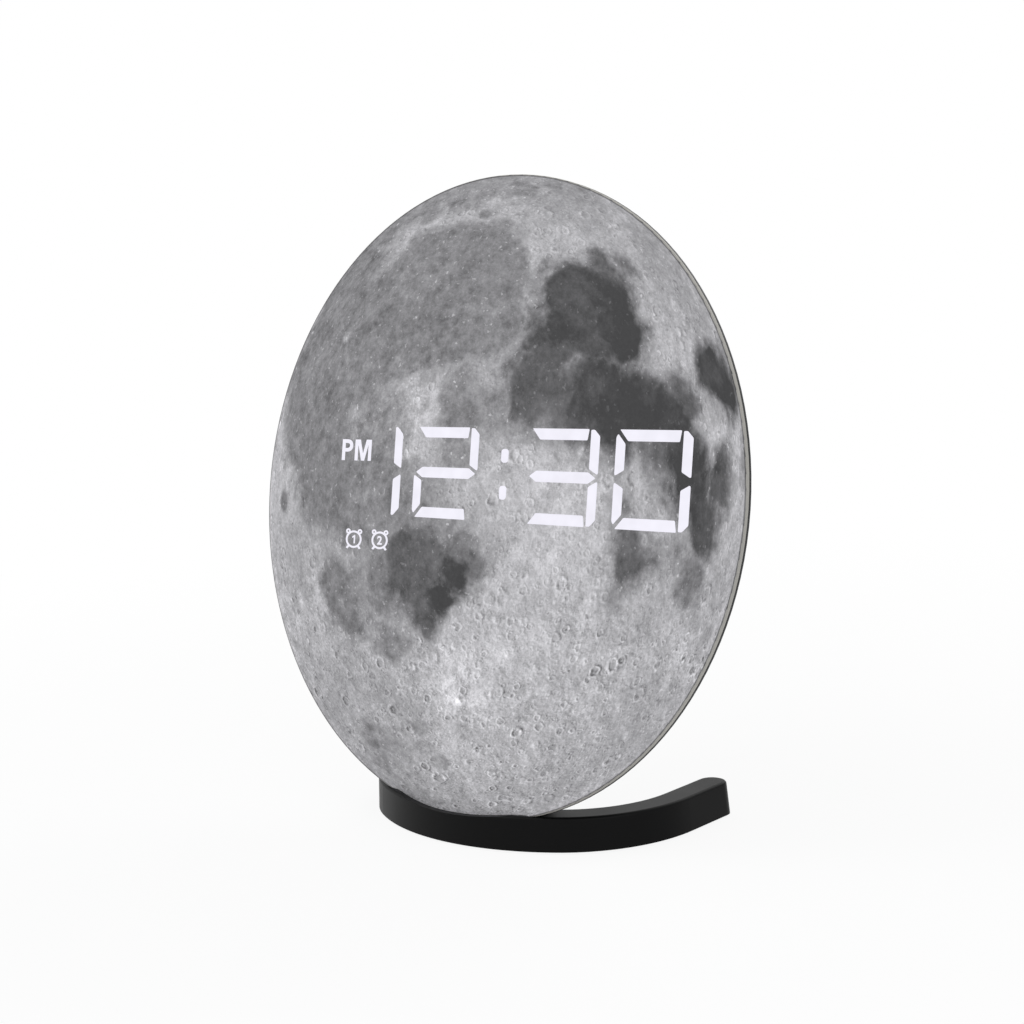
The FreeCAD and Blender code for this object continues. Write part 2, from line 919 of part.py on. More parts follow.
def dish(name, solid):
    body = new_body(name)
    turned = revolve(body, name + "_turned", dish_profile(solid))
    shoulder = frame_back + size("cover_rim_depth")
    rim = round_edge_at(body, turned, name + "_rim", size("cover_rim_round"),
                        [(cover_rim_radius, shoulder)])
    round_edge_at(body, rim, name + "_edge", size("cover_back_round"),
                  [(cover_back_radius, size("head_depth"))])
    return body


door_front = size("head_depth") - size("door_thickness")
door_plug_front = door_front - size("door_plug_depth")
holder_back = door_plug_front - size("contact_thickness")
cell_front = holder_back - size("cell_thickness")
holder_inside = cell_front - size("contact_thickness")
holder_front = holder_inside - size("holder_floor")
lug_radius = size("door_plug_radius") + size("door_lug_reach")
well_radius = lug_radius + size("door_clearance")


def door_lug_box(name, start, end, gap):
    """The strip across the door that its two lugs are cut from."""
    half = size("door_lug_width") / 2 + gap
    reach = lug_radius + overrun
    return block(
        name,
        (on_face("cell_x") - reach, on_face("cell_x") + reach),
        (start, end),
        (on_face("cell_z") - half, on_face("cell_z") + half),
    )


# Rear cover: dished shell with bosses, ribs, a battery well, sound slots and openings
def make_rear_cover():
    shell = dish("CoverShell", False)
    depth, inside = size("head_depth"), cover_inside
    boss = size("frame_boss_radius")
    boss_front = frame_back + size("frame_boss_depth")
    clear = size("screw_shank_radius") + size("screw_hole_clearance")
    head_clear = size("screw_head_radius") + size("screw_hole_clearance")
    solids = [shell]
    holes = []
    for index, (x, z) in enumerate(cover_screw_places()):
        solids.append(rod(f"CoverBoss{index}", boss, boss_front, inside, x, z))
        holes.append(rod(f"CoverHole{index}", clear, boss_front - overrun, depth, x, z))
        holes.append(rod(f"CoverSink{index}", head_clear, cover_screw_seat, depth + overrun, x, z))
    # ring around the battery door, from the holder's flange to the cover
    cell_x, cell_z = on_face("cell_x"), on_face("cell_z")
    solids.append(rod("CellRing", well_radius + size("holder_wall"), holder_front, inside,
                      cell_x, cell_z))
    gap = size("door_clearance")
    ledge_front = door_front - size("door_lug_depth")
    recess_floor = door_front - size("door_seat_gap")
    holes.append(rod("DoorRecess", size("door_radius") + gap, recess_floor, depth + overrun,
                     cell_x, cell_z))
    holes.append(rod("DoorBore", size("door_plug_radius") + gap, ledge_front - overrun, depth,
                     cell_x, cell_z))
    holes.append(rod("CellWell", well_radius, holder_front - overrun, ledge_front, cell_x, cell_z))
    notch = common("LugNotch", [
        rod("NotchRound", well_radius, ledge_front - overrun, depth, cell_x, cell_z),
        lug_notch_box(ledge_front, depth, gap),
    ])
    holes.append(notch)
    # button openings
    for index in range(len(button_names())):
        holes.append(rod(f"ButtonHole{index}", size("button_radius") + size("button_clearance"),
                         inside - overrun, depth + overrun, button_x(index), on_face("button_z")))
    # socket opening
    gap = size("window_clearance")
    holes.append(centred_block("SocketHole", on_face("socket_x"), size("socket_width") + gap * 2,
                               (inside - overrun, depth + overrun),
                               on_face("socket_z"), size("socket_height") + gap * 2))
    holes.extend(sound_slots(inside - overrun, depth + overrun))
    # bosses for the two neck screws
    for index, side in enumerate((-1, 1)):
        x, z = size("neck_screw_x") * side, neck_screw_z
        front = inside - size("screw_bite")
        solids.append(rod(f"NeckBoss{index}", boss, front, inside, x, z))
        hole = size("screw_shank_radius") + size("fit_clearance")
        holes.append(rod(f"NeckHole{index}", hole, front + size("cover_wall"), depth + overrun, x, z))
    solids.extend(cover_ribs(inside))
    keep_on_head(cut("RearCover", fuse("CoverSolids", solids), holes), "rear_cover")


def lug_notch_box(start, end, gap):
    """The notches that let the lugs in stand a quarter turn away from the locked door."""
    half = size("door_lug_width") / 2 + gap
    reach = lug_radius + overrun
    item = doc.addObject("Part::Box", "NotchBox")
    turn = Rotation(Vector(0, 1, 0), size("door_turn").number)
    item.Placement = Placement(Vector(), turn)
    centre = Vector(on_face("cell_x").number, (start - overrun).number, on_face("cell_z").number)
    corner = turn.multVec(Vector(-reach.number, 0, -half.number))
    item.Placement = Placement(centre + corner, turn)
    bind(item, {"Length": reach * 2, "Width": end - start + overrun, "Height": half * 2})
    return item


def sound_slots(start, end):
    """A row of slots over the sounder, shorter towards the sides."""
    radius = size("sounder_radius")
    pitch = radius * 2 / 5
    slots = []
    for step in range(-2, 3):
        reach = radius * math.sqrt(1 - (step * 2 / 5) ** 2) * 9 / 10
        x = on_face("sounder_x") + pitch * step
        z = on_face("sounder_z")
        half = pitch / 5
        slots.append(block(f"SoundSlot{step + 2}", (x - half, x + half), (start, end),
                           (z - reach, z + reach)))
    return slots


def cover_ribs(inside):
    """Four stiffening ribs on the inner back face, above and below the board."""
    ribs = []
    half = size("cover_rib_thickness") / 2
    front = inside - size("cover_rib_height")
    for side in (-1, 1):
        for level in (-1, 1):
            z = on_face("cover_rib_pitch") * level
            middle = size("cover_rib_length") * side * 3 / 4
            reach = size("cover_rib_length") / 4
            name = f"Rib{len(ribs)}"
            ribs.append(block(name, (middle - reach, middle + reach), (front, inside),
                              (z - half, z + half)))
    return ribs


# Coin cell, its cup and its spring contact
def make_cell_parts():
    cell_x, cell_z = on_face("cell_x"), on_face("cell_z")
    cell = rod("CellDisc", size("cell_radius"), cell_front, holder_back, cell_x, cell_z)
    keep_on_head(group("CoinCell", [cell]), "coin_cell")
    gap = size("door_clearance")
    cup = rod("HolderCup", well_radius - gap, holder_front, holder_back, cell_x, cell_z)
    flange = rod("HolderFlange", well_radius + size("holder_flange"),
                 holder_front - size("holder_floor"), holder_front, cell_x, cell_z)
    hollow = rod("HolderHollow", size("cell_radius") + size("cell_clearance"), holder_inside,
                 holder_back + overrun, cell_x, cell_z)
    keep_on_head(cut("CellHolder", fuse("HolderSolids", [cup, flange]), [hollow]), "cell_holder")
    strip = centred_block("ContactStrip", cell_x, size("cell_radius"),
                          (holder_inside, cell_front), cell_z, size("contact_width"))
    keep_on_head(group("CellContact", [strip]), "cell_contact")


# Battery door: a round plug with two lugs and a coin slot, locked by a part turn
def make_battery_door():
    cell_x, cell_z = on_face("cell_x"), on_face("cell_z")
    depth = size("head_depth")
    disc = rod("DoorDisc", size("door_radius"), door_front, depth, cell_x, cell_z)
    plug = rod("DoorPlug", size("door_plug_radius"), door_plug_front, door_front, cell_x, cell_z)
    gap = size("door_clearance")
    lug_back = door_front - size("door_lug_depth") - gap
    lugs = common("DoorLugs", [
        rod("LugRound", lug_radius, door_plug_front, lug_back, cell_x, cell_z),
        door_lug_box("LugStrip", door_plug_front - overrun, lug_back + overrun, ZERO),
    ])
    slot = centred_block("CoinSlot", cell_x, size("door_coin_slot_length"),
                         (depth - size("door_coin_slot_depth"), depth + overrun),
                         cell_z, size("door_coin_slot_width"))
    keep_on_head(cut("BatteryDoor", fuse("DoorSolids", [disc, plug, lugs]), [slot]), "battery_door")


base_arc_y = size("base_front_arc") - size("bar_width") / 2
corner_x = size("base_half_width") - size("base_corner_arc")
arc_step = size("base_front_arc") - size("base_corner_arc")
corner_y = base_arc_y - square_root(arc_step * arc_step - corner_x * corner_x)


def arc_edge(centre_x, centre_y, radius, start, end):
    circle = Part.Circle(Vector(centre_x, centre_y, 0), Vector(0, 0, 1), radius)
    return Part.ArcOfCircle(circle, start, end)


def draw_bar_curve(sketch, inset, end_y):
    """One side of the stand's curve: leg, corner, front, corner, leg, all tangent."""
    front = size("base_front_arc") - inset
    corner = size("base_corner_arc") - inset
    half = size("base_half_width") - inset
    turn = math.atan2((corner_y - base_arc_y).number, corner_x.number)
    left_turn = -math.pi - turn
    x, y = corner_x.number, corner_y.number
    first = sketch.GeometryCount
    sketch.addGeometry([
        Part.LineSegment(Vector(-half.number, end_y.number, 0), Vector(-half.number, y, 0)),
        arc_edge(-x, y, corner.number, -math.pi, left_turn),
        arc_edge(0, base_arc_y.number, front.number, left_turn, turn),
        arc_edge(x, y, corner.number, turn, 0),
        Part.LineSegment(Vector(half.number, y, 0), Vector(half.number, end_y.number, 0)),
    ], False)
    for step in range(4):
        sketch.addConstraint(Sketcher.Constraint("Tangent", first + step, 2, first + step + 1, 1))
    sketch.addConstraint(Sketcher.Constraint("Vertical", first))
    sketch.addConstraint(Sketcher.Constraint("Vertical", first + 4))
    tie(sketch, "DistanceX", first, 1, -half)
    tie(sketch, "DistanceX", first + 4, 2, half)
    tie(sketch, "DistanceY", first, 1, end_y)
    tie(sketch, "DistanceY", first + 4, 2, end_y)
    for step, radius in ((1, corner), (2, front), (3, corner)):
        rule = sketch.addConstraint(Sketcher.Constraint("Radius", first + step, radius.number))
        sketch.setExpression(f"Constraints[{rule}]", radius.rule)
    tie(sketch, "DistanceY", first + 2, 3, base_arc_y)
    return first


def curved_bar(name, inset, bottom, top, taper=None, leg_end=None):
    """A bar that follows the stand's curve, drawn in from its walls by an inset."""
    body = new_body(name)
    sketch = new_sketch(body, name + "_plan", "XY_Plane", bottom)
    end_y = (leg_end if leg_end is not None else size("base_leg_end")) - inset
    outer = draw_bar_curve(sketch, inset, end_y)
    inner = draw_bar_curve(sketch, size("bar_width") - inset, end_y)
    sketch.addGeometry([
        Part.LineSegment(sketch.Geometry[outer].StartPoint, sketch.Geometry[inner].StartPoint),
        Part.LineSegment(sketch.Geometry[outer + 4].EndPoint, sketch.Geometry[inner + 4].EndPoint),
    ], False)
    last = sketch.GeometryCount - 1
    for line, corner, point in ((last - 1, 0, 1), (last, 4, 2)):
        sketch.addConstraint(Sketcher.Constraint("Coincident", line, 1, outer + corner, point))
        sketch.addConstraint(Sketcher.Constraint("Coincident", line, 2, inner + corner, point))
    bar = pad(body, sketch, name + "_pad", top - bottom)
    if taper is not None:
        bind(bar, {"TaperAngle": -taper})
        doc.recompute()
    return body, bar


# Base bar: drafted curve with rounded ends, a thin front lip, a groove for the face, a neck pad
def make_base_bar():
    bottom, top = size("base_bottom"), size("base_top")
    body, bar = curved_bar("BaseCurve", ZERO, bottom, top, size("base_draft"))
    end_line = size("base_leg_end").number
    upright = edge_names(bar.Shape, lambda box: box.YMin > end_line - top.number / 4
                         and box.ZLength > (top - bottom).number / 2)
    ends = fillet(body, bar, "BaseEnds", upright, size("base_end_round"))
    rim = edge_names(ends.Shape, lambda box: near(box.ZMin, top.number))
    fillet(body, ends, "BaseRim", rim, size("base_top_round"))
    plate = pad_block(bottom, top)
    solid = fuse("BaseSolids", [body, plate])
    cover_top = bottom + size("base_cover_thickness")
    strip_end = size("base_leg_end") - size("base_end_wall")
    recess, recess_pad = curved_bar("CoverRecess", size("base_wall"), bottom - overrun, cover_top,
                                    None, strip_end)
    channel, channel_pad = curved_bar("WeightChannel", size("base_wall"), cover_top - overrun,
                                      top - size("base_roof"), None, size("weight_end_y"))
    bridge = block("ChannelBridge", (-size("weight_start_x"), size("weight_start_x")),
                   (-size("bar_width"), pad_back), (bottom - overrun, top))
    channels = cut("WeightChannels", channel, [bridge])
    gap = size("groove_clearance")
    groove = rod("FaceGroove", size("face_radius") + gap, -gap, frame_back + gap)
    groove_at_face = group("FaceGrooveTilted", [groove])
    tilt_to_head(groove_at_face)
    # pocket between the face and the thin lip that follows the curve in front of it
    pocket = rod("LipPocketRound", size("face_radius") + gap, -(size("base_lip") + overrun), gap)
    pocket_at_face = group("LipPocketTilted", [pocket])
    tilt_to_head(pocket_at_face)
    plan, plan_pad = curved_bar("LipPocketPlan", size("base_lip_wall"), bottom, top + overrun)
    # shallow scoop in the lip's top, so that it drops under the middle of the face
    scoop_middle = top - size("lip_scoop_depth") + size("lip_scoop_radius")
    scoop = rod("LipScoop", size("lip_scoop_radius"), -size("bar_width"), face_foot, ZERO, scoop_middle)
    tools = [recess, channels, groove_at_face, common("LipPocket", [pocket_at_face, plan]), scoop]
    for index, (x, y) in enumerate(stand_screw_places()):
        tools.append(post(f"StandHole{index}", size("stand_screw_radius") + size("screw_hole_clearance"),
                          bottom - overrun, top + overrun, x, y))
        tools.append(post(f"StandSink{index}",
                          size("stand_screw_head_radius") + size("screw_hole_clearance"),
                          bottom - overrun, bottom + size("stand_screw_sink"), x, y))
    for index, (x, y) in enumerate(base_cover_screw_places()):
        tools.append(post(f"CoverScrewPilot{index}",
                          size("base_cover_screw_radius") + size("fit_clearance"),
                          cover_top - overrun, bottom + size("base_cover_screw_length"), x, y))
    keep(cut("BaseBar", solid, tools), "base_bar")


def pad_block(bottom, top):
    """The thick part behind the middle of the bar, which the neck stands on."""
    body = new_body("NeckPad")
    sketch = new_sketch(body, "NeckPad_plan", "XY_Plane", bottom)
    half, back = size("pad_half_width"), pad_back
    draw_polygon(sketch, [(-half, ZERO), (half, ZERO), (half, back), (-half, back)])
    plate = pad(body, sketch, "NeckPad_pad", top - bottom)
    corners = edge_names(plate.Shape, lambda box: near(box.YMin, back.number) and near(box.YMax, back.number)
                         and box.ZLength > (top - bottom).number / 2)
    fillet(body, plate, "NeckPadCorners", corners, size("pad_round"))
    return body


def tilt_to_head(item):
    item.Placement = head_placement()
    bind(item, {
        "Placement.Base.y": head_y,
        "Placement.Base.z": head_z,
        "Placement.Rotation.Angle": size("lean_angle"),
    })


def stand_screw_places():
    for side in (-1, 1):
        yield size("stand_screw_x") * side, stand_screw_y


def curve_middle_y(x):
    """Middle line of the front arc at a distance from the centre plane."""
    return base_arc_y - square_root(base_arc_y * base_arc_y - x * x)


def leg_middle_x():
    return size("base_half_width") - size("bar_width") / 2


def base_cover_screw_places():
    front_x = size("base_cover_screw_x")
    for side in (-1, 1):
        yield front_x * side, curve_middle_y(front_x)
        yield leg_middle_x() * side, size("base_cover_screw_y")


# Base weights: two curved steel bars in the legs
def make_base_weights():
    bottom = size("base_bottom") + size("base_cover_thickness")
    gap = size("weight_clearance")
    bar, bar_pad = curved_bar("WeightBar", size("base_wall") + gap, bottom,
                              size("base_top") - size("base_roof") - gap, None,
                              size("weight_end_y"))
    edge = size("weight_start_x") + gap
    middle = block("WeightMiddle", (-edge, edge), (-size("bar_width"), pad_back),
                   (bottom - overrun, size("base_top")))
    keep(cut("BaseWeights", bar, [middle]), "base_weights")


def foot_places():
    """Front foot on the centre plane, then a foot at each corner and on each leg."""
    middle_radius = size("base_corner_arc") - size("bar_width") / 2
    reach = middle_radius / square_root(Size(2, "2"))
    yield ZERO, ZERO
    for side in (-1, 1):
        yield (corner_x + reach) * side, corner_y - reach
        yield leg_middle_x() * side, size("foot_leg_y")


# Base cover: flat strip that closes the underside, with a seat for each foot
def make_base_cover():
    bottom = size("base_bottom")
    inset = size("base_wall") + size("groove_clearance")
    strip, strip_pad = curved_bar("CoverStrip", inset, bottom, bottom + size("base_cover_thickness"),
                                  None, size("base_leg_end") - size("base_end_wall"))
    tools = []
    for index, (x, y) in enumerate(foot_places()):
        tools.append(post(f"FootSeat{index}", size("foot_radius") + size("fit_clearance"),
                          bottom - overrun, size("foot_height"), x, y))
    for index, (x, y) in enumerate(base_cover_screw_places()):
        tools.append(post(f"StripHole{index}", size("base_cover_screw_radius") + size("fit_clearance"),
                          bottom - overrun, size("base_top"), x, y))
        tools.append(post(f"StripSink{index}",
                          size("base_cover_screw_head_radius") + size("fit_clearance"),
                          bottom - overrun, bottom + size("base_cover_thickness") / 2, x, y))
    keep(cut("BaseCover", strip, tools), "base_cover")


# Base cover screws: four small ones, heads flush with the strip
def make_base_cover_screws():
    bottom = size("base_bottom")
    seat = bottom + size("base_cover_thickness") / 2
    solids = []
    for index, (x, y) in enumerate(base_cover_screw_places()):
        solids.append(fuse(f"StripScrew{index}", [
            post(f"StripShank{index}", size("base_cover_screw_radius"), seat,
                 bottom + size("base_cover_screw_length") - size("fit_clearance"), x, y),
            post(f"StripHead{index}", size("base_cover_screw_head_radius"), bottom, seat, x, y),
        ]))
    keep(group("BaseCoverScrews", solids), "base_cover_screws")


# Rubber feet: five round pads that stand in the strip
def make_feet():
    feet = [
        post(f"Foot{index}", size("foot_radius"), ZERO, size("foot_height"), x, y)
        for index, (x, y) in enumerate(foot_places())
    ]
    keep(group("RubberFeet", feet), "rubber_feet")


# Stand screws: two from under the pad up into the neck
def make_stand_screws():
    seat = size("base_bottom") + size("stand_screw_sink")
    solids = []
    for index, (x, y) in enumerate(stand_screw_places()):
        solids.append(fuse(f"StandScrew{index}", [
            post(f"StandShank{index}", size("stand_screw_radius"), seat,
                 size("stand_screw_reach"), x, y),
            post(f"StandHead{index}", size("stand_screw_head_radius"),
                 seat - size("stand_screw_head_height"), seat, x, y),
        ]))
    keep(group("StandScrews", solids), "stand_screws")


# Stand neck: wedge behind the head, hollowed to the dish, screwed to stand and cover
def make_neck():
    body = new_body("NeckWedge")
    sketch = new_sketch(body, "NeckProfile", "YZ_Plane")
    floor = size("base_top")
    draw_polygon(sketch, [
        (face_foot + size("neck_front"), floor), (neck_back, floor),
        (face_foot + size("neck_top_back"), size("neck_top")),
        (face_foot + size("neck_top_front"), size("neck_top")),
    ])
    wedge = body.newObject("PartDesign::Pad", "NeckPadding")
    wedge.Profile = sketch
    wedge.Midplane = True
    bind(wedge, {"Length": size("neck_half_width") * 2})
    doc.recompute()
    half = size("neck_half_width").number
    back = neck_back.number

    def outer_corner(box):
        upright = box.ZLength > floor.number and box.YMin > back - 1e-3
        side = near(abs(box.XMin), half) and near(box.XMin, box.XMax)
        return upright and side

    fillet(body, wedge, "NeckCorners", edge_names(wedge.Shape, outer_corner), size("neck_round"))
    dish_tool = group("NeckDish", [dish("DishTool", True)])
    tilt_to_head(dish_tool)
    tools = [dish_tool]
    for index, (x, y) in enumerate(stand_screw_places()):
        tools.append(post(f"NeckPilot{index}", size("stand_screw_radius") + size("fit_clearance"),
                          floor - overrun, size("stand_screw_reach") + size("fit_clearance"), x, y))
    sinks = []
    for index, side in enumerate((-1, 1)):
        x, z = size("neck_screw_x") * side, neck_screw_z
        sinks.append(rod(f"NeckClear{index}", size("screw_shank_radius") + size("screw_hole_clearance"),
                         size("head_depth") - overrun, size("neck_screw_seat") + overrun, x, z))
        sinks.append(rod(f"NeckSink{index}", size("screw_head_radius") + size("screw_hole_clearance"),
                         size("neck_screw_seat"), size("neck_screw_seat") + size("head_depth"), x, z))
    sink_group = fuse("NeckSinks", sinks)
    tilt_to_head(sink_group)
    tools.append(sink_group)
    keep(cut("StandNeck", body, tools), "stand_neck")


# Neck screws: two from the back of the neck into the rear cover
def make_neck_screws():
    tip = cover_inside - size("screw_bite") + size("cover_wall") + size("fit_clearance")
    solids = [
        small_screw(f"NeckScrew{index}", size("neck_screw_seat"), tip,
                    size("neck_screw_x") * side, neck_screw_z)
        for index, side in enumerate((-1, 1))
    ]
    keep_on_head(group("NeckScrews", solids), "neck_screws")


make_faceplate()
make_tape()
make_mid_frame()
make_mask()
make_reflector()
make_diffusers()
make_board()
make_leds()
make_chips()
make_crystal()
make_switches()
make_buttons()
make_sounder()
make_socket()
make_board_screws()
make_rear_cover()
make_cover_screws()
make_cell_parts()
make_battery_door()
make_neck()
make_neck_screws()
make_base_bar()
make_base_weights()
make_base_cover()
make_base_cover_screws()
make_stand_screws()
make_feet()
doc.recompute()

# Check every object before anything is written
for item in doc.Objects:
    if "Invalid" in item.State or "Error" in item.State:
        raise RuntimeError(f"{item.Label} did not compute: {item.State}")
for item in nodes:
    if item.Shape.isNull() or not item.Shape.isValid() or not item.Shape.Solids:
        raise RuntimeError(f"{item.Label} has no valid solid")

os.makedirs("parts", exist_ok=True)
for item in nodes:
    item.Shape.exportStep(f"parts/{item.Label}.step")
    print(item.Label, len(item.Shape.Solids), round(item.Shape.Volume, 2))
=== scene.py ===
import bmesh
import bpy
import json
import math
from mathutils import Matrix, Vector


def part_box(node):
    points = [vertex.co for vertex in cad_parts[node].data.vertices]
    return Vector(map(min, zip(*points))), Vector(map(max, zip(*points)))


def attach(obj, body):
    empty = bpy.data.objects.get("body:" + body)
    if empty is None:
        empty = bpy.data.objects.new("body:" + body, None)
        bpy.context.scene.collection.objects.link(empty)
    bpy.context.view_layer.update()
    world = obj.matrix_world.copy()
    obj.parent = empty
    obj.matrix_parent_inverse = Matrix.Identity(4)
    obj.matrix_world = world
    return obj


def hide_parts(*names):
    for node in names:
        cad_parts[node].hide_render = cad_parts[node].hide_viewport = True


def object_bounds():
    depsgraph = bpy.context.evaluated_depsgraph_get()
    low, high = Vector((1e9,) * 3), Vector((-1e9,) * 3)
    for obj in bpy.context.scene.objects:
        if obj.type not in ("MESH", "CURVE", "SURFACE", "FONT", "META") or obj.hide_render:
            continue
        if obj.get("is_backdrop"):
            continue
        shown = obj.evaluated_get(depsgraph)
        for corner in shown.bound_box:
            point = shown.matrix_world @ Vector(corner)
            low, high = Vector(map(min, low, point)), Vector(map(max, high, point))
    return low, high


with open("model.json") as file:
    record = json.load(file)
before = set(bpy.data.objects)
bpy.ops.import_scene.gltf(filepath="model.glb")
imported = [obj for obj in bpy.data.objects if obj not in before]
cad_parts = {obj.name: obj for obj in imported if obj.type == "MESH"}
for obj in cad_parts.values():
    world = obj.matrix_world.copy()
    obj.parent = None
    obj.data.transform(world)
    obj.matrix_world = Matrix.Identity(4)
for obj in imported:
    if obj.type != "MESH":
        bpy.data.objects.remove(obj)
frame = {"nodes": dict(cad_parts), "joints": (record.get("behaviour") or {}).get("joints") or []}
low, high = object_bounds()


# Camera: a slightly long lens a little above the clock's middle, to the right of its
# face, with the slight roll of a hand-held picture.
camera_turn = math.radians(42.4365)
camera_drop = math.radians(7.2571)
camera_roll = math.radians(-3.3918)
camera_place = Vector((0.303482, -0.304007, 0.135356))
sight = Vector((
    -math.sin(camera_turn) * math.cos(camera_drop),
    math.cos(camera_turn) * math.cos(camera_drop),
    -math.sin(camera_drop),
))
level_right = Vector((math.cos(camera_turn), math.sin(camera_turn), 0))
level_up = level_right.cross(sight)
camera_right = level_right * math.cos(camera_roll) + level_up * math.sin(camera_roll)
camera_up = level_up * math.cos(camera_roll) - level_right * math.sin(camera_roll)
lens = bpy.data.cameras.new("camera")
lens.lens = 62.76
lens.sensor_width = 36
lens.clip_start = 0.01
lens.clip_end = 20
camera = bpy.data.objects.new("camera", lens)
turned = Matrix((camera_right, camera_up, -sight)).transposed().to_4x4()
camera.matrix_world = Matrix.Translation(camera_place) @ turned
bpy.context.scene.collection.objects.link(camera)
bpy.context.scene.camera = camera
bpy.context.scene.view_settings.view_transform = "Standard"


# Studio: an even pale room that shows as white, with three soft panels that light the
# clock from above its left, from its right and from behind.
def add_node(tree, kind, inputs=None, **settings):
    """A node with its settings, its input values and its links."""
    made = tree.nodes.new(kind)
    for key, value in settings.items():
        setattr(made, key, value)
    for key, value in (inputs or {}).items():
        if isinstance(value, bpy.types.NodeSocket):
            tree.links.new(value, made.inputs[key])
        else:
            made.inputs[key].default_value = value
    return made


def work(tree, operation, *values):
    """The result of one operation on numbers or sockets."""
    return add_node(tree, "ShaderNodeMath", dict(enumerate(values)), operation=operation).outputs[0]


def seen_directly(tree):
    """One for rays from the camera and for those that gloss and glass pass on, else zero."""
    rays = add_node(tree, "ShaderNodeLightPath").outputs
    mirrored = work(tree, "MAXIMUM", rays["Is Glossy Ray"], rays["Is Transmission Ray"])
    return work(tree, "MAXIMUM", rays["Is Camera Ray"], mirrored)


room_light = 0.62
room = bpy.data.worlds.new("room")
room.use_nodes = True
room_tree = room.node_tree
room_tree.nodes.clear()
room_colour = (0.98, 0.99, 1, 1)
pure_white = (1, 1, 1, 1)
room_fill = add_node(room_tree, "ShaderNodeBackground", {"Color": room_colour, "Strength": room_light})
room_seen = add_node(room_tree, "ShaderNodeBackground", {"Color": pure_white, "Strength": 1})
room_mix = add_node(room_tree, "ShaderNodeMixShader", {
    0: seen_directly(room_tree), 1: room_fill.outputs[0], 2: room_seen.outputs[0],
})
add_node(room_tree, "ShaderNodeOutputWorld", {"Surface": room_mix.outputs[0]})
bpy.context.scene.world = room

clock_middle = (low + high) / 2
# Place, side in metres and power in watts of each panel
panels = {
    "panel_left": (Vector((-0.55, -0.75, 0.85)), 0.7, 3.6),
    "panel_right": (Vector((0.95, -0.45, 0.45)), 0.6, 1.4),
    "panel_back": (Vector((0.1, 0.9, 0.8)), 0.8, 3.0),
}
for panel_name, (panel_place, panel_side, panel_power) in panels.items():
    panel_light = bpy.data.lights.new(panel_name, "AREA")
    panel_light.size = panel_side
    panel_light.energy = panel_power
    panel = bpy.data.objects.new(panel_name, panel_light)
    aim = (clock_middle - panel_place).to_track_quat("-Z", "Y").to_matrix().to_4x4()
    panel.matrix_world = Matrix.Translation(panel_place) @ aim
    bpy.context.scene.collection.objects.link(panel)


# Table: a plain pale surface under the feet, which fades into the white room but keeps
# the clock's soft shadow.
def start_material(name):
    """A new material, its node tree and its object coordinates."""
    made = bpy.data.materials.new(name)
    made.use_nodes = True
    made.node_tree.nodes.clear()
    place = add_node(made.node_tree, "ShaderNodeTexCoord").outputs["Object"]
    return made, made.node_tree, place


def new_piece(name, mesh_maker, body="clock", smooth=False):
    """An object at the origin whose mesh holds its place."""
    mesh = bpy.data.meshes.new(name)
    mesh_maker.to_mesh(mesh)
    mesh_maker.free()
    if smooth:
        mesh.shade_smooth()
    made = bpy.data.objects.new(name, mesh)
    bpy.context.scene.collection.objects.link(made)
    if body:
        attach(made, body)
    return made


table_size = 6.0
table_mesh = bmesh.new()
bmesh.ops.create_grid(table_mesh, x_segments=12, y_segments=12, size=table_size / 2)
table = new_piece("table", table_mesh, body=None)
table_paint, table_tree, table_place = start_material("table_paint")
table_grain = add_node(table_tree, "ShaderNodeTexNoise", {
    "Vector": table_place, "Scale": 40.0, "Detail": 3.0,
})
table_tone = add_node(table_tree, "ShaderNodeMapRange", {
    "Value": table_grain.outputs[0], "To Min": 0.88, "To Max": 0.92,
}).outputs[0]
table_colour = add_node(table_tree, "ShaderNodeCombineColor", {
    0: table_tone, 1: table_tone, 2: table_tone,
})
table_matt = add_node(table_tree, "ShaderNodeBsdfDiffuse", {"Color": table_colour.outputs[0]})
table_white = add_node(table_tree, "ShaderNodeEmission", {"Color": pure_white, "Strength": 1})
table_reach = add_node(
    table_tree, "ShaderNodeVectorMath", {0: table_place}, operation="LENGTH",
).outputs["Value"]
fade_start, fade_end, white_at_clock = 0.10, 0.55, 0.90
table_fade = add_node(table_tree, "ShaderNodeMapRange", {
    "Value": table_reach, "From Min": fade_start, "From Max": fade_end,
    "To Min": white_at_clock, "To Max": 1.0,
}, interpolation_type="SMOOTHSTEP").outputs[0]
table_share = work(table_tree, "MULTIPLY", seen_directly(table_tree), table_fade)
table_mix = add_node(table_tree, "ShaderNodeMixShader", {
    0: table_share, 1: table_matt.outputs[0], 2: table_white.outputs[0],
})
add_node(table_tree, "ShaderNodeOutputMaterial", {"Surface": table_mix.outputs[0]})
table.data.materials.append(table_paint)
table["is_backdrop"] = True


# Faceplate: a thin satin plastic disc with a full moon printed on its front. The print
# wraps the real moon's plains and ray craters round a ball; the disc's edge stays bare.
door_joint = next(joint for joint in frame["joints"] if joint["name"] == "battery_door_turn")
lean = math.atan2(-door_joint["axis"][2], door_joint["axis"][1])
face_radius = 0.080
face_normal = Vector((0, -math.cos(lean), math.sin(lean)))
face_low, face_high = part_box("moon_faceplate")
face_middle = (face_low + face_high) / 2
face_front = max(point.co.dot(face_normal) for point in frame["nodes"]["moon_faceplate"].data.vertices)
face_centre = face_middle + face_normal * (face_front - face_middle.dot(face_normal))
head = Matrix.Translation(face_centre) @ Matrix.Rotation(-lean, 4, "X")

print_scale = face_radius * 1.04
tilt_to_viewer = math.radians(5.66)
turn_to_viewer = math.radians(5.83)


def grey(level, red=1.0, green=1.0, blue=1.0):
    """A colour from the screen level of a grey, from 0 to 255, with a faint tint."""
    linear = ((level / 255 + 0.055) / 1.055) ** 2.4
    return (linear * red, linear * green, linear * blue, 1)


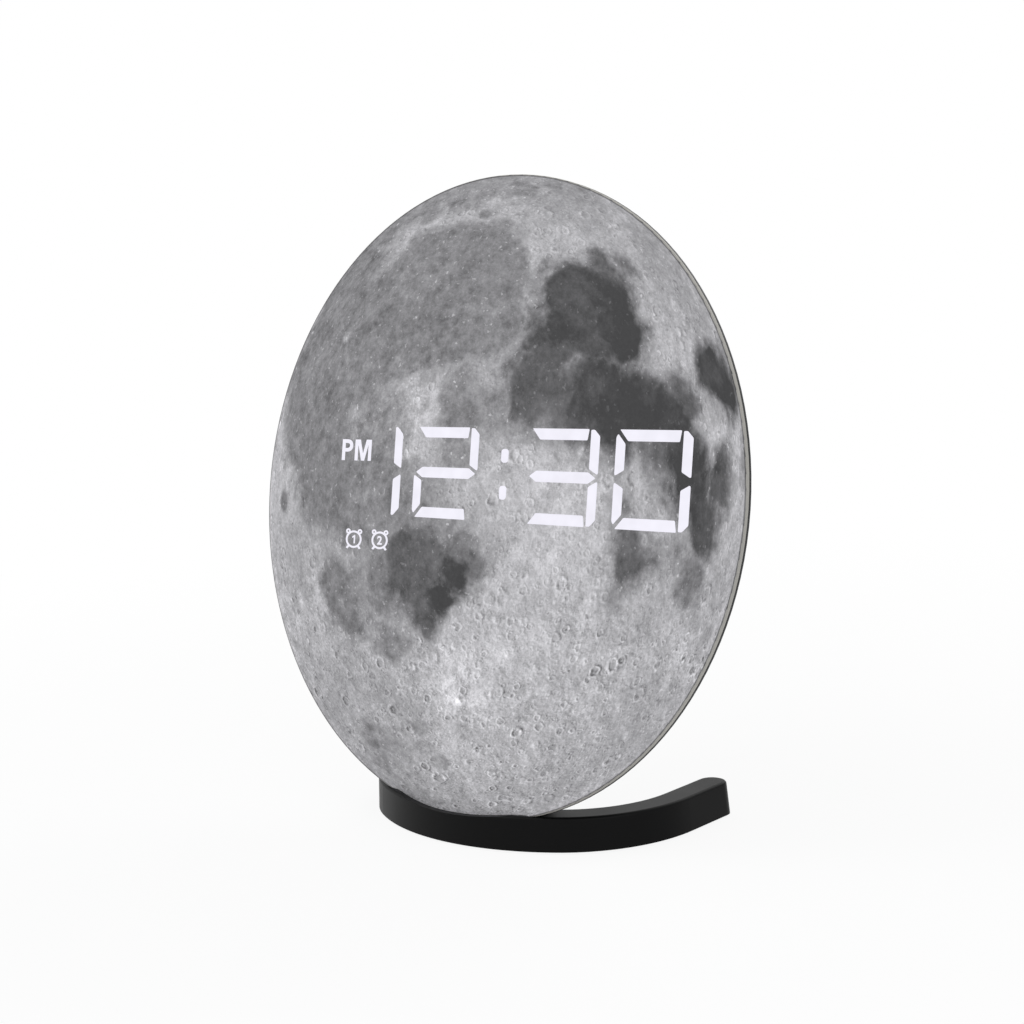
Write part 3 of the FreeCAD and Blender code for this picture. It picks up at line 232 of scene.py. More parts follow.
def moon_direction(east, north):
    """Where a place on the moon points, with x right, y up and z to the viewer."""
    east, north = math.radians(east) + turn_to_viewer, math.radians(north)
    across, up = math.cos(north) * math.sin(east), math.sin(north)
    out = math.cos(north) * math.cos(east)
    tip, lift = math.cos(tilt_to_viewer), math.sin(tilt_to_viewer)
    return (across, up * tip + out * lift, out * tip - up * lift)


def vector_work(tree, operation, first, second=(0, 0, 0), result="Vector"):
    made = add_node(tree, "ShaderNodeVectorMath", {0: first, 1: second}, operation=operation)
    return made.outputs[result]


def ramp(tree, value, start, end, least=0.0, most=1.0, kind="SMOOTHSTEP"):
    """A value that goes from least at the start to most at the end."""
    return add_node(tree, "ShaderNodeMapRange", {
        "Value": value, "From Min": start, "From Max": end, "To Min": least, "To Max": most,
    }, interpolation_type=kind).outputs[0]


def noise(tree, place, scale, detail=4.0, roughness=0.55, result=0):
    return add_node(tree, "ShaderNodeTexNoise", {
        "Vector": place, "Scale": scale, "Detail": detail, "Roughness": roughness,
    }).outputs[result]


def shifted(tree, place, scale, amount, detail=4.0):
    """Places pushed about by a noise, for ragged shores."""
    push = vector_work(tree, "SUBTRACT", noise(tree, place, scale, detail, result=1), (0.5, 0.5, 0.5))
    return vector_work(tree, "ADD", place, vector_work(tree, "MULTIPLY", push, (amount,) * 3))


# Dark plains: east and north in degrees, reach in degrees, and how dark each is
plains = [
    (-16, 33, 18.5, 0.60), (-28, 41, 9, 0.60), (-4, 37, 8, 0.59), (-38, 26, 15, 0.59),
    (-54, 18, 21, 0.60), (-48, 1, 15, 0.62), (-60, 38, 12, 0.59), (-36, -6, 12, 0.56),
    (-57, 53, 9, 0.56), (-31, 7, 9, 0.50), (-23, -12, 10, 0.58), (-14, -14, 7, 0.55),
    (-20, -20, 10, 0.84), (-28, -21, 7.5, 0.64), (-15.6, -24.5, 5.5, 1.0), (-11, -19.7, 5.5, 0.96),
    (-19, -28.4, 4.5, 0.92), (-44, -24.5, 7.5, 0.66), (-30, -33.7, 5, 0.60), (-36, -27, 5, 0.50),
    (18.5, 27.5, 12, 0.94), (20, 19, 6, 0.86), (10, 22, 7.5, 0.90), (27, 24, 7.5, 1.0),
    (27, 31, 6, 0.97), (25.7, 38, 4, 0.85), (33.4, 36, 4, 0.75), (2.1, 16.1, 5, 0.72),
    (6.0, 13.0, 7, 0.90), (13, 11, 7, 0.88), (-2, 10, 5, 0.52), (-10.5, 9.5, 6, 0.60),
    (-11, 1, 5, 0.48), (-8, -17, 6.5, 0.74), (20, 10.5, 9, 0.96), (26, 10, 9, 1.0),
    (33, 12, 7.5, 1.0), (39, 10.5, 7.5, 1.0), (43, 14, 5, 0.92), (37, 3.5, 6, 0.84),
    (43, 3, 7, 0.96), (47, -1, 6, 0.95), (51, -5, 6.5, 0.95), (55, 0.5, 5, 0.92),
    (48.5, -14, 5, 0.70), (43, -9, 4, 0.45), (31, -13, 6, 0.84), (36, -10, 4, 0.50),
    (29, -19, 3, 0.6), (28, -6, 4, 0.60), (54.5, 18, 6.0, 1.0), (58.5, 16.5, 6.5, 1.0),
    (-11, 21.5, 4, 0.62), (-40, 57, 5, 0.54), (-25, 59.5, 4.5, 0.54), (-10, 60.5, 4.5, 0.54),
    (6, 61, 4.5, 0.52), (20, 60, 4, 0.50), (34, 57, 4, 0.52), (68, 5, 4, 0.55), (85, 0, 7, 0.70),
    (84, 13, 6, 0.70), (80, 57, 4, 0.6), (-45.2, -52, 3.6, 0.62), (-47, -57, 3.4, 0.60),
    (-53, -63, 4, 0.55),
]
# Duller ground with wide, soft borders, in the same form
dull_ground = [
    (55, -42, 12, 0.26), (44, -59, 9, 0.24), (52, 42, 14, 0.34), (60, 28, 10, 0.22),
    (25, 62, 16, 0.36), (-10, 75, 16, 0.46), (-50, 72, 16, 0.50), (-66, -48, 12, 0.30),
    (-50, -38, 9, 0.24), (-34, -20, 11, 0.42), (-27, -28, 8, 0.40), (-60, -16, 11, 0.26),
    (62, -14, 7, 0.28), (-58, -64, 9, 0.40), (41, -19, 7, 0.28), (-36, -43, 10, 0.26),
    (-46, -58, 9, 0.46),
]
# Small dark floors, with sharper shores
floors = [
    (-10.2, 52.4, 1.7, 0.62), (-68.3, -5.5, 2.2, 0.66), (-22.8, -51, 2.2, 0.40),
    (-6.5, -51, 2.3, 0.20), (-16.1, -59.6, 2.3, 0.38), (-25, -56, 1.4, 0.3), (12, -46, 1.5, 0.26),
    (30, -44, 1.6, 0.24),
]
# Bright craters: place, reach of the rays, width of the halo, and strength
bright_craters = [
    (-11.4, -43.3, 1.25, 0.08, 0.42), (-8, -39, 0.9, 0.26, 0.34), (-22, 10, 0.44, 0.10, 0.55),
    (-27, 11.5, 0.20, 0.14, 0.36), (-40, 8, 0.30, 0.09, 0.75), (-50, 25.5, 0.20, 0.030, 1.3),
    (46.8, 16.1, 0.22, 0.030, 0.60), (61, -9, 0.22, 0.05, 0.40), (54, -32, 0.30, 0.045, 0.62),
    (14, -8, 0.5, 0.40, 0.12), (16, 16, 0.08, 0.022, 0.70), (17, 2.8, 0.10, 0.025, 0.50),
    (-63.7, -24.5, 0.26, 0.045, 0.50), (64, 60, 0.25, 0.03, 0.4), (24, -60, 0.14, 0.03, 0.35),
    (-53, 74, 0.25, 0.03, 0.35), (35, -33, 0.12, 0.03, 0.3), (5, -8, 0.08, 0.02, 0.3),
]

# Small craters come in scatters: cells to a moon radius, and the share of cells left bare
crater_scatters = ((14.0, 0.72), (23.0, 0.30))
finest_scatter = (42.0, 0.10)

moon_print, moon_tree, moon_place = start_material("moon_print")
flat = add_node(moon_tree, "ShaderNodeMapping", {
    "Vector": moon_place, "Location": face_centre, "Rotation": (-lean, 0, 0),
    "Scale": (print_scale,) * 3,
}, vector_type="TEXTURE").outputs[0]
parts = add_node(moon_tree, "ShaderNodeSeparateXYZ", {0: flat}).outputs


def total(first, *others):
    """The sum of numbers or sockets of the moon print."""
    for other in others:
        first = work(moon_tree, "ADD", first, other)
    return first


def product(first, *others):
    for other in others:
        first = work(moon_tree, "MULTIPLY", first, other)
    return first


def less(first, second):
    return work(moon_tree, "SUBTRACT", first, second)


def kept_within(value, least, most):
    return work(moon_tree, "MINIMUM", work(moon_tree, "MAXIMUM", value, least), most)


def joined(known, here, operation):
    """The first value as it is, and each later one worked into it."""
    return here if known is None else work(moon_tree, operation, known, here)


# The flat print as seen on a ball of radius one, and the same with ragged borders
reach_squared = total(work(moon_tree, "POWER", parts["X"], 2.0), work(moon_tree, "POWER", parts["Z"], 2.0))
depth_squared = work(moon_tree, "MAXIMUM", less(1.0, reach_squared), 0.0)
outward = work(moon_tree, "SQRT", depth_squared)
ball = add_node(moon_tree, "ShaderNodeCombineXYZ", {
    0: parts["X"], 1: parts["Z"], 2: outward,
}).outputs[0]
wide_bays = shifted(moon_tree, ball, 3.4, 0.17, 3.0)
shore = shifted(moon_tree, wide_bays, 11.0, 0.15, 10.0)
sharp_shore = shifted(moon_tree, ball, 22.0, 0.02, 3.0)

dark = None
shore_groups = ((shore, plains, 0.055), (shore, dull_ground, 0.18), (sharp_shore, floors, 0.014))
for near_shore, group, softness in shore_groups:
    for east, north, reach, darkness in group:
        away = vector_work(moon_tree, "DISTANCE", near_shore, moon_direction(east, north), "Value")
        edge = 2 * math.sin(math.radians(reach) / 2)
        here = ramp(moon_tree, away, edge + softness, edge - softness, 0.0, darkness)
        dark = joined(dark, here, "MAXIMUM")
streaks = noise(moon_tree, ball, 7.0, 8.0, 0.62)
mottle = noise(moon_tree, ball, 22.0, 10.0, 0.78)
shore_band = work(moon_tree, "PINGPONG", work(moon_tree, "MINIMUM", dark, 1.0), 0.5)
patches = product(less(mottle, 0.5), 3.0, total(shore_band, 0.06))
wide_drift = ramp(moon_tree, streaks, 0.3, 0.7, 0.10, -0.08, "LINEAR")
dark = kept_within(total(dark, total(patches, wide_drift)), 0.0, 1.0)


def crater_bowls(place, scale, least):
    """Raised rims and sunk floors in a scatter of cells of one size."""
    cells = add_node(moon_tree, "ShaderNodeTexVoronoi", {"Vector": place, "Scale": scale})
    chance = add_node(moon_tree, "ShaderNodeSeparateColor", {0: cells.outputs["Color"]}).outputs
    wide = ramp(moon_tree, chance[1], 0.0, 1.0, 0.18, 0.40, "LINEAR")
    away = work(moon_tree, "DIVIDE", cells.outputs["Distance"], wide)
    there = ramp(moon_tree, chance[0], least, least + 0.05)
    rim = product(ramp(moon_tree, away, 1.4, 0.95), there)
    bowl = product(ramp(moon_tree, away, 0.98, 0.55), there)
    return rim, bowl


def relief(place):
    """The height of the rough ground: fine noise and three scatters of craters."""
    height = product(noise(moon_tree, place, 30.0, 9.0, 0.78), 3.0)
    for scale, least in (*crater_scatters, finest_scatter):
        rim, bowl = crater_bowls(place, scale, least)
        crater = work(moon_tree, "DIVIDE", less(product(rim, 0.7), bowl), scale / 15.0)
        height = total(height, crater)
    return height


# Relief lit from the lower left: the height a step to the upper right, less the height here
shade_step = (0.006, 0.0035, 0.0)
wavy = shifted(moon_tree, ball, 40.0, 0.022, 4.0)
southern = ramp(moon_tree, parts["Z"], 0.0, -0.62)
rough_land = ramp(moon_tree, dark, 0.12, 0.60, 1.0, 0.20)
shade = less(relief(vector_work(moon_tree, "ADD", wavy, shade_step)), relief(wavy))
shade = product(shade, rough_land, ramp(moon_tree, southern, 0, 1, 0.6, 1.0, "LINEAR"))
rim_light, floor_shade = 0.07, 0.25
ring_tone = None
for scale, least in crater_scatters:
    rim, bowl = crater_bowls(wavy, scale, least)
    ring_tone = joined(ring_tone, less(product(rim, rim_light), product(bowl, floor_shade)), "ADD")
ring_tone = product(ring_tone, product(southern, rough_land))
pitted = noise(moon_tree, shore, 13.0, 10.0, 0.76)
pitted = ramp(moon_tree, pitted, 0.32, 0.68, -0.36, 0.25, "LINEAR")
ring_tone = total(ring_tone, product(pitted, rough_land))

rays = None
spoke_share = 0.55
for east, north, reach, halo, strength in bright_craters:
    offset = vector_work(moon_tree, "SUBTRACT", ball, moon_direction(east, north))
    away = vector_work(moon_tree, "LENGTH", offset, result="Value")
    spokes = noise(moon_tree, vector_work(moon_tree, "NORMALIZE", offset), 4.2, 3.0, 0.75)
    spokes = ramp(moon_tree, spokes, 0.47, 0.66)
    fade = work(moon_tree, "POWER", ramp(moon_tree, away, reach, 0.0, kind="LINEAR"), 1.6)
    glow = ramp(moon_tree, away, halo, halo * 0.2)
    here = product(spokes, product(fade, strength * spoke_share))
    rays = joined(rays, total(here, product(glow, strength)), "ADD")
patchy = ramp(moon_tree, noise(moon_tree, ball, 26.0, 8.0, 0.8), 0.38, 0.62, 0.15, 1.25)
rays = product(rays, patchy)

grain = noise(moon_tree, ball, 85.0, 3.0, 0.75)
grain = ramp(moon_tree, grain, 0.25, 0.75, -0.14, 0.14, "LINEAR")
specks = ramp(moon_tree, noise(moon_tree, ball, 60.0, 2.0, 0.5), 0.645, 0.74, 0.0, 1.0)
specks = product(specks, ramp(moon_tree, dark, 0.1, 0.5, 0.15, 1.0))
ground = add_node(moon_tree, "ShaderNodeMix", {
    0: dark, 6: grey(197, 1.0, 0.985, 1.02), 7: grey(60, 1.0, 0.99, 1.03),
}, data_type="RGBA").outputs[2]
ray_share, shade_share, least_light = 0.75, 0.75, 0.25
lift = total(total(grain, specks), product(rays, ray_share))
lift = total(lift, total(ring_tone, product(shade, shade_share)))
light = work(moon_tree, "MAXIMUM", total(1.0, lift), least_light)
# Painted shade: in a thin ring at its very rim the print darkens to a third, a dark edge line standing in
# for the shade at the disc's edge.
rim_share = product(work(moon_tree, "SQRT", reach_squared), print_scale / face_radius)
light = product(light, ramp(moon_tree, rim_share, 0.9925, 0.9965, 1.0, 0.34))
printed = vector_work(moon_tree, "SCALE", ground)
moon_tree.links.new(light, printed.node.inputs["Scale"])
on_front = ramp(moon_tree, parts["Y"], 0.05e-3 / print_scale, 0.12e-3 / print_scale)
bare_edge = grey(168, 1.03, 1.0, 0.93)
face_colour = add_node(moon_tree, "ShaderNodeMix", {
    0: on_front, 6: printed, 7: bare_edge,
}, data_type="RGBA").outputs[2]
satin = noise(moon_tree, moon_place, 2600.0, 2.0)
satin_bump = add_node(moon_tree, "ShaderNodeBump", {
    "Height": satin, "Strength": 0.06, "Distance": 0.0001,
})
face_shader = add_node(moon_tree, "ShaderNodeBsdfPrincipled", {
    "Base Color": face_colour, "Roughness": ramp(moon_tree, streaks, 0.3, 0.7, 0.50, 0.58),
    "Normal": satin_bump.outputs[0], "Specular IOR Level": 0.25,
})
add_node(moon_tree, "ShaderNodeOutputMaterial", {"Surface": face_shader.outputs[0]})


def dress(node, material):
    """Give a carried-over part its finish."""
    mesh = frame["nodes"][node].data
    mesh.materials.clear()
    mesh.materials.append(material)


dress("moon_faceplate", moon_print)


# Lit time: seven-segment numbers that shine through the print, each bar with softened
# corners, and two short upright dots. They stand as a thin layer of light on the face.
light_layer = 0.00003
light_sink = 0.00002
digit_width = 0.0222
digit_height = 0.0232
digit_middle = 0.0054
digit_pitch = 0.0271
second_digit = -0.0233
third_digit = 0.0155
bar_height = 0.0027
post_width = 0.0028
post_cut = 0.0017
one_cut = 0.0020
bar_rounding = 0.00028
# Left end, lit bars and outer cut of each digit
shown_digits = [
    (second_digit - digit_pitch, "bc", one_cut), (second_digit, "abdeg", post_cut),
    (third_digit, "abcdg", post_cut), (third_digit + digit_pitch, "abcdef", post_cut),
]

glow_white, glow_tree, glow_place = start_material("glow_white")
glow_cloud = noise(glow_tree, glow_place, 220.0, 2.0)
glow_strength = ramp(glow_tree, glow_cloud, 0.3, 0.7, 0.93, 1.0, "LINEAR")
glow_shader = add_node(glow_tree, "ShaderNodeBsdfPrincipled", {
    "Base Color": (0.02, 0.02, 0.02, 1), "Roughness": 0.5, "Specular IOR Level": 0.1,
    "Emission Color": (0.90, 0.885, 0.975, 1), "Emission Strength": glow_strength,
})
add_node(glow_tree, "ShaderNodeOutputMaterial", {"Surface": glow_shader.outputs[0]})


def join_in(made, part):
    """Move the faces of one mesh maker into another."""
    holder = bpy.data.meshes.new("holder")
    part.to_mesh(holder)
    part.free()
    made.from_mesh(holder)
    bpy.data.meshes.remove(holder)


def add_light(made, shape):
    """Thicken a flat shape from just above the face to just below it, and add it."""
    raised = bmesh.ops.extrude_face_region(shape, geom=shape.faces[:])
    back = [item for item in raised["geom"] if isinstance(item, bmesh.types.BMVert)]
    bmesh.ops.translate(shape, verts=back, vec=(0, light_layer + light_sink, 0))
    bmesh.ops.recalc_face_normals(shape, faces=shape.faces[:])
    join_in(made, shape)


def segment_corners(outer_cut):
    """Corner lists of the seven bars in a cell that starts at zero. The left joints are
    mitred; on the right the posts run to full height and have their outer corner cut."""
    wide, tall, post, bar = digit_width, digit_height, post_width, bar_height
    middle = tall / 2
    post_end, tip_rise = bar * 0.78, bar * 0.31
    upper_bar = [
        (post * 0.36, tall), (wide - post * 1.20, tall),
        (wide - post * 1.36, tall - bar), (post * 1.26, tall - bar),
    ]
    right_post = [
        (wide - post, tall - bar * 0.06), (wide - outer_cut, tall - bar * 0.06), (wide, tall - outer_cut),
        (wide, middle + bar * 0.40), (wide - post * 0.10, middle + tip_rise),
        (wide - post, middle + post_end),
    ]
    left_post = [
        (0, tall - bar * 0.66), (post * 0.19, tall - bar * 0.38), (post, tall - bar * 1.25),
        (post, middle + post_end), (post * 0.10, middle + tip_rise), (0, middle + bar * 0.40),
    ]
    tip, shoulder = post * 0.24, post * 1.05
    middle_bar = [
        (tip, middle), (shoulder, middle + bar / 2), (wide - shoulder, middle + bar / 2),
        (wide - tip, middle), (wide - shoulder, middle - bar / 2), (shoulder, middle - bar / 2),
    ]

    def mirror_down(corners):
        return [(x, tall - z) for x, z in corners]

    return {
        "a": upper_bar, "b": right_post, "c": mirror_down(right_post), "d": mirror_down(upper_bar),
        "e": mirror_down(left_post), "f": left_post, "g": middle_bar,
    }


def light_patch(made, corners, rounding, segments=3):
    """A flat shape of light on the face, its corners rounded, as a thin slab."""
    patch = bmesh.new()
    points = [patch.verts.new((x, -light_layer, z)) for x, z in corners]
    patch.faces.new(points)
    bmesh.ops.bevel(patch, geom=patch.verts[:], offset=rounding, segments=segments,
                    profile=0.5, affect="VERTICES", material=-1)
    add_light(made, patch)


def light_piece(name, made):
    bmesh.ops.transform(made, matrix=head, verts=made.verts[:])
    piece = new_piece(name, made)
    piece.data.materials.append(glow_white)


for number, (left, letters, outer_cut) in enumerate(shown_digits, start=1):
    digit = bmesh.new()
    bars = segment_corners(outer_cut)
    bottom = digit_middle - digit_height / 2
    for letter in letters:
        light_patch(digit, [(left + x, bottom + z) for x, z in bars[letter]], bar_rounding)
    light_piece(f"lit_digit_{number}", digit)

colon_place, colon_heights = 0.00786, (0.01013, 0.00102)
colon_wide, colon_tall, colon_rounding = 0.0024, 0.0034, 0.00085
colon = bmesh.new()
for colon_height in colon_heights:
    light_patch(colon, [
        (colon_place + side * colon_wide / 2, colon_height + rise * colon_tall / 2)
        for side, rise in ((-1, -1), (1, -1), (1, 1), (-1, 1))
    ], colon_rounding, 5)
light_piece("lit_colon", colon)


# Afternoon mark: the two lit letters left of the hour, in a plain bold face.
def light_letters(made, words, middle, wide, tall, heft=0.0):
    """Letters as a thin slab of light, fitted to a width and a height."""
    text = bpy.data.curves.new("letters", "FONT")
    text.body = words
    text.offset = heft
    text.resolution_u = 5
    writer = bpy.data.objects.new("letters", text)
    bpy.context.scene.collection.objects.link(writer)
    bpy.context.view_layer.update()
    shape = bpy.data.meshes.new_from_object(writer.evaluated_get(bpy.context.evaluated_depsgraph_get()))
    bpy.data.objects.remove(writer)
    bpy.data.curves.remove(text)
    letters = bmesh.new()
    letters.from_mesh(shape)
    bpy.data.meshes.remove(shape)
    bmesh.ops.remove_doubles(letters, verts=letters.verts[:], dist=1e-5)
    across = [point.co.x for point in letters.verts]
    upward = [point.co.y for point in letters.verts]
    centre = Vector(((min(across) + max(across)) / 2, (min(upward) + max(upward)) / 2, 0))
    bmesh.ops.translate(letters, verts=letters.verts[:], vec=-centre)
    bmesh.ops.scale(letters, verts=letters.verts[:],
                    vec=(wide / (max(across) - min(across)), tall / (max(upward) - min(upward)), 1))
    bmesh.ops.rotate(letters, verts=letters.verts[:], matrix=Matrix.Rotation(math.radians(90), 3, "X"))
    bmesh.ops.translate(letters, verts=letters.verts[:], vec=(middle[0], -light_layer, middle[1]))
    add_light(made, letters)


noon_mark = bmesh.new()
light_letters(noon_mark, "P", (-0.0490, 0.0106), 0.0042, 0.0056, 0.02)
letter_left, letter_low, letter_wide, letter_tall = -0.0461, 0.0078, 0.0063, 0.0056
letter_post, letter_shoulder, letter_dip = 0.0012, 0.0020, 0.0019
letter_notch, letter_tip = 0.0013, 0.0006
light_patch(noon_mark, [(letter_left + x, letter_low + z) for x, z in (
    (0, 0), (0, letter_tall), (letter_shoulder, letter_tall), (letter_wide / 2, letter_dip),
    (letter_wide - letter_shoulder, letter_tall), (letter_wide, letter_tall), (letter_wide, 0),
    (letter_wide - letter_post, 0), (letter_wide - letter_post, letter_tall - letter_notch),
    (letter_wide / 2 + letter_tip, 0), (letter_wide / 2 - letter_tip, 0),
    (letter_post, letter_tall - letter_notch), (letter_post, 0),
)], 0.00008, 2)
light_piece("lit_noon_mark", noon_mark)


# Alarm marks: two lit bell clocks, a ring with its number, two bells above and two feet.
def light_arc(made, middle, inner, outer, start, end, steps=24):
    """A stroke that follows part of a circle, angles in degrees from the right."""
    arc = bmesh.new()
    tips = [arc.verts.new((inner, 0, 0)), arc.verts.new((outer, 0, 0))]
    edge = arc.edges.new(tips)
    bmesh.ops.rotate(arc, verts=tips, matrix=Matrix.Rotation(math.radians(-start), 3, "Y"))
    bmesh.ops.spin(arc, geom=[edge] + tips, axis=(0, -1, 0), cent=(0, 0, 0),
                   angle=math.radians(end - start), steps=steps, use_merge=end - start == 360)
    bmesh.ops.translate(arc, verts=arc.verts[:], vec=(middle[0], -light_layer, middle[1]))
    add_light(made, arc)


alarm_places = [(-0.0444, -0.0131), (-0.0345, -0.0129)]
alarm_ring, alarm_line, alarm_stretch = 0.00232, 0.00052, 1.32
bell_across, bell_up, bell_hole, bell_size = 0.0017, 0.0021, 0.00022, 0.00068
foot_corners = [(0.0011, -0.0019), (0.0016, -0.0016), (0.0022, -0.0023), (0.0017, -0.0026)]
one_corners = [
    (0.00002, -0.0011), (0.00042, -0.0011), (0.00042, 0.0011), (0.00008, 0.0011),
    (-0.00045, 0.0007), (-0.00045, 0.0003), (0.00002, 0.0005),
]
two_wide, two_tall, two_heft = 0.0014, 0.0023, 0.03
for number, (across, upward) in enumerate(alarm_places, start=1):
    mark = bmesh.new()
    light_arc(mark, (0, 0), alarm_ring - alarm_line, alarm_ring, 0, 360, 32)
    for side in (-1, 1):
        light_arc(mark, (side * bell_across, bell_up), bell_hole, bell_size, 0, 360, 16)
        light_patch(mark, [(side * x, z) for x, z in foot_corners], 0.0001)
    if number == 1:
        light_patch(mark, one_corners, 0.00004, 2)
    else:
        light_letters(mark, str(number), (0, 0), two_wide, two_tall, two_heft)
    bmesh.ops.scale(mark, verts=mark.verts[:], vec=(alarm_stretch, 1, 1))
    bmesh.ops.translate(mark, verts=mark.verts[:], vec=(across, 0, upward))
    light_piece(f"lit_alarm_mark_{number}", mark)


# Tape, frame and light mask: black parts behind the disc. The tape is dense foam, the
# frame a fine-textured moulding and the mask a matt film.
def moulded(name, colour, roughness, grain_size, grain_depth, specular=0.5, drift=0.12):
    """Plastic or rubber with a fine grain, a little drift in tone and worn gloss."""
    made, tree, place = start_material(name)
    cloud = noise(tree, place, 35.0, 5.0, 0.6)
    grain = noise(tree, place, 1.0 / grain_size, 3.0, 0.6)
    tone = work(tree, "MULTIPLY", ramp(tree, cloud, 0.3, 0.7, 1 - drift, 1 + drift, "LINEAR"),
                ramp(tree, grain, 0.3, 0.7, 1 - drift, 1 + drift, "LINEAR"))
    tinted = add_node(tree, "ShaderNodeVectorMath", {0: colour[:3]}, operation="SCALE")
    tree.links.new(tone, tinted.inputs["Scale"])
    bump = add_node(tree, "ShaderNodeBump", {"Height": grain, "Strength": 0.5, "Distance": grain_depth})
    shader = add_node(tree, "ShaderNodeBsdfPrincipled", {
        "Base Color": tinted.outputs[0], "Normal": bump.outputs[0], "Specular IOR Level": specular,
        "Roughness": ramp(tree, cloud, 0.3, 0.7, roughness - 0.05, roughness + 0.05, "LINEAR"),
    })
    add_node(tree, "ShaderNodeOutputMaterial", {"Surface": shader.outputs[0]})
    return made


foam_black = moulded("foam_black", grey(28), 0.9, 0.0003, 0.00005, 0.2)
textured_black = moulded("textured_black", grey(26, 1, 1, 1.05), 0.52, 0.00035, 0.00004, 0.4)
film_black = moulded("film_black", grey(18), 0.7, 0.0006, 0.00001, 0.3)
dress("faceplate_tape", foam_black)
dress("mid_frame", textured_black)
dress("light_mask", film_black)


# Reflector and diffusers: a white block with a light well behind each bar, closed in
# front by milky plugs that glow where the time shows.
reflector_white = moulded("reflector_white", grey(232, 1, 1, 0.98), 0.45, 0.0005, 0.00001, 0.5, 0.03)
milky_dark = moulded("milky_dark", grey(190, 1, 1, 1.02), 0.35, 0.0008, 0.00001, 0.5, 0.04)
dress("display_reflector", reflector_white)
dress("lit_segments", glow_white)
dress("dark_segments", milky_dark)


# Circuit board: green solder mask over copper tracks that show as lighter green lines.
board_green, board_tree, board_place = start_material("board_green")
board_flat = add_node(board_tree, "ShaderNodeMapping", {
    "Vector": board_place, "Location": face_centre, "Rotation": (-lean, 0, 0),
}, vector_type="TEXTURE").outputs[0]
tracks = add_node(board_tree, "ShaderNodeTexVoronoi", {
    "Vector": board_flat, "Scale": 260.0, "Randomness": 0.55,
}, feature="F1", distance="CHEBYCHEV").outputs["Distance"]
track_lines = work(board_tree, "PINGPONG", tracks, 0.09)
copper = ramp(board_tree, track_lines, 0.045, 0.06)
board_colour = add_node(board_tree, "ShaderNodeMix", {
    0: copper, 6: (0.008, 0.060, 0.026, 1), 7: (0.018, 0.125, 0.055, 1),
}, data_type="RGBA").outputs[2]
board_bump = add_node(board_tree, "ShaderNodeBump", {
    "Height": copper, "Strength": 0.4, "Distance": 0.00003,
})
board_shader = add_node(board_tree, "ShaderNodeBsdfPrincipled", {
    "Base Color": board_colour, "Roughness": ramp(board_tree, copper, 0, 1, 0.34, 0.24),
    "Normal": board_bump.outputs[0], "Coat Weight": 0.3, "Coat Roughness": 0.2,
})
add_node(board_tree, "ShaderNodeOutputMaterial", {"Surface": board_shader.outputs[0]})
dress("main_board", board_green)


# Parts on the board: light-emitting chips with yellow phosphor, epoxy-cased chips, a
# small crystal can, push switches, the sounder and the plated power socket.
def metal(name, colour, roughness, brush=(1, 1, 1), scratch=0.08):
    """Bare or plated metal with fine brushing and a few dull spots."""
    made, tree, place = start_material(name)
    drawn = add_node(tree, "ShaderNodeMapping", {"Vector": place, "Scale": brush}).outputs[0]
    lines = noise(tree, drawn, 900.0, 3.0, 0.6)
    spots = noise(tree, place, 120.0, 4.0, 0.6)
    tone = ramp(tree, spots, 0.3, 0.7, 0.88, 1.05, "LINEAR")
    tinted = add_node(tree, "ShaderNodeVectorMath", {0: colour[:3]}, operation="SCALE")
    tree.links.new(tone, tinted.inputs["Scale"])
    bump = add_node(tree, "ShaderNodeBump", {"Height": lines, "Strength": scratch, "Distance": 0.00002})
    shader = add_node(tree, "ShaderNodeBsdfPrincipled", {
        "Base Color": tinted.outputs[0], "Metallic": 1.0, "Normal": bump.outputs[0],
        "Roughness": ramp(tree, lines, 0.3, 0.7, roughness - 0.06, roughness + 0.08, "LINEAR"),
    })
    add_node(tree, "ShaderNodeOutputMaterial", {"Surface": shader.outputs[0]})
    return made


phosphor = moulded("phosphor", (0.80, 0.66, 0.12, 1), 0.4, 0.0001, 0.00001, 0.5, 0.05)
epoxy_black = moulded("epoxy_black", grey(32), 0.5, 0.0001, 0.00001, 0.5)
nickel = metal("nickel", (0.66, 0.65, 0.62, 1), 0.25, (1, 1, 6))
dress("segment_leds", phosphor)
dress("controller_chips", epoxy_black)
dress("clock_crystal", nickel)
dress("button_switches", epoxy_black)
dress("sounder", film_black)
dress("power_socket", nickel)


# Screws: black-coated steel with a domed head and a cross recess, turned and stamped.
black_steel = metal("black_steel", (0.045, 0.045, 0.047, 1), 0.42, (1, 1, 1), 0.15)


def head_profile(made, shank, head_radius, head_height, reach):
    """A half outline of a pan-head screw, spun round its axis; the seat is at zero."""
    crown = head_height * 0.55
    outline = [
        (0, -reach), (shank * 0.55, -reach), (shank, -reach + shank * 0.8), (shank, 0),
        (head_radius, 0), (head_radius, crown * 0.75), (head_radius * 0.93, crown),
        (head_radius * 0.72, head_height * 0.86), (head_radius * 0.4, head_height * 0.97), (0, head_height),
    ]
    points = [made.verts.new((x, 0, z)) for x, z in outline]
    line = [made.edges.new(pair) for pair in zip(points, points[1:])]
    bmesh.ops.spin(made, geom=points + line, axis=(0, 0, 1), cent=(0, 0, 0),
                   angle=math.tau, steps=32, use_merge=True)
    bmesh.ops.remove_doubles(made, verts=made.verts[:], dist=1e-6)
    bmesh.ops.recalc_face_normals(made, faces=made.faces[:])


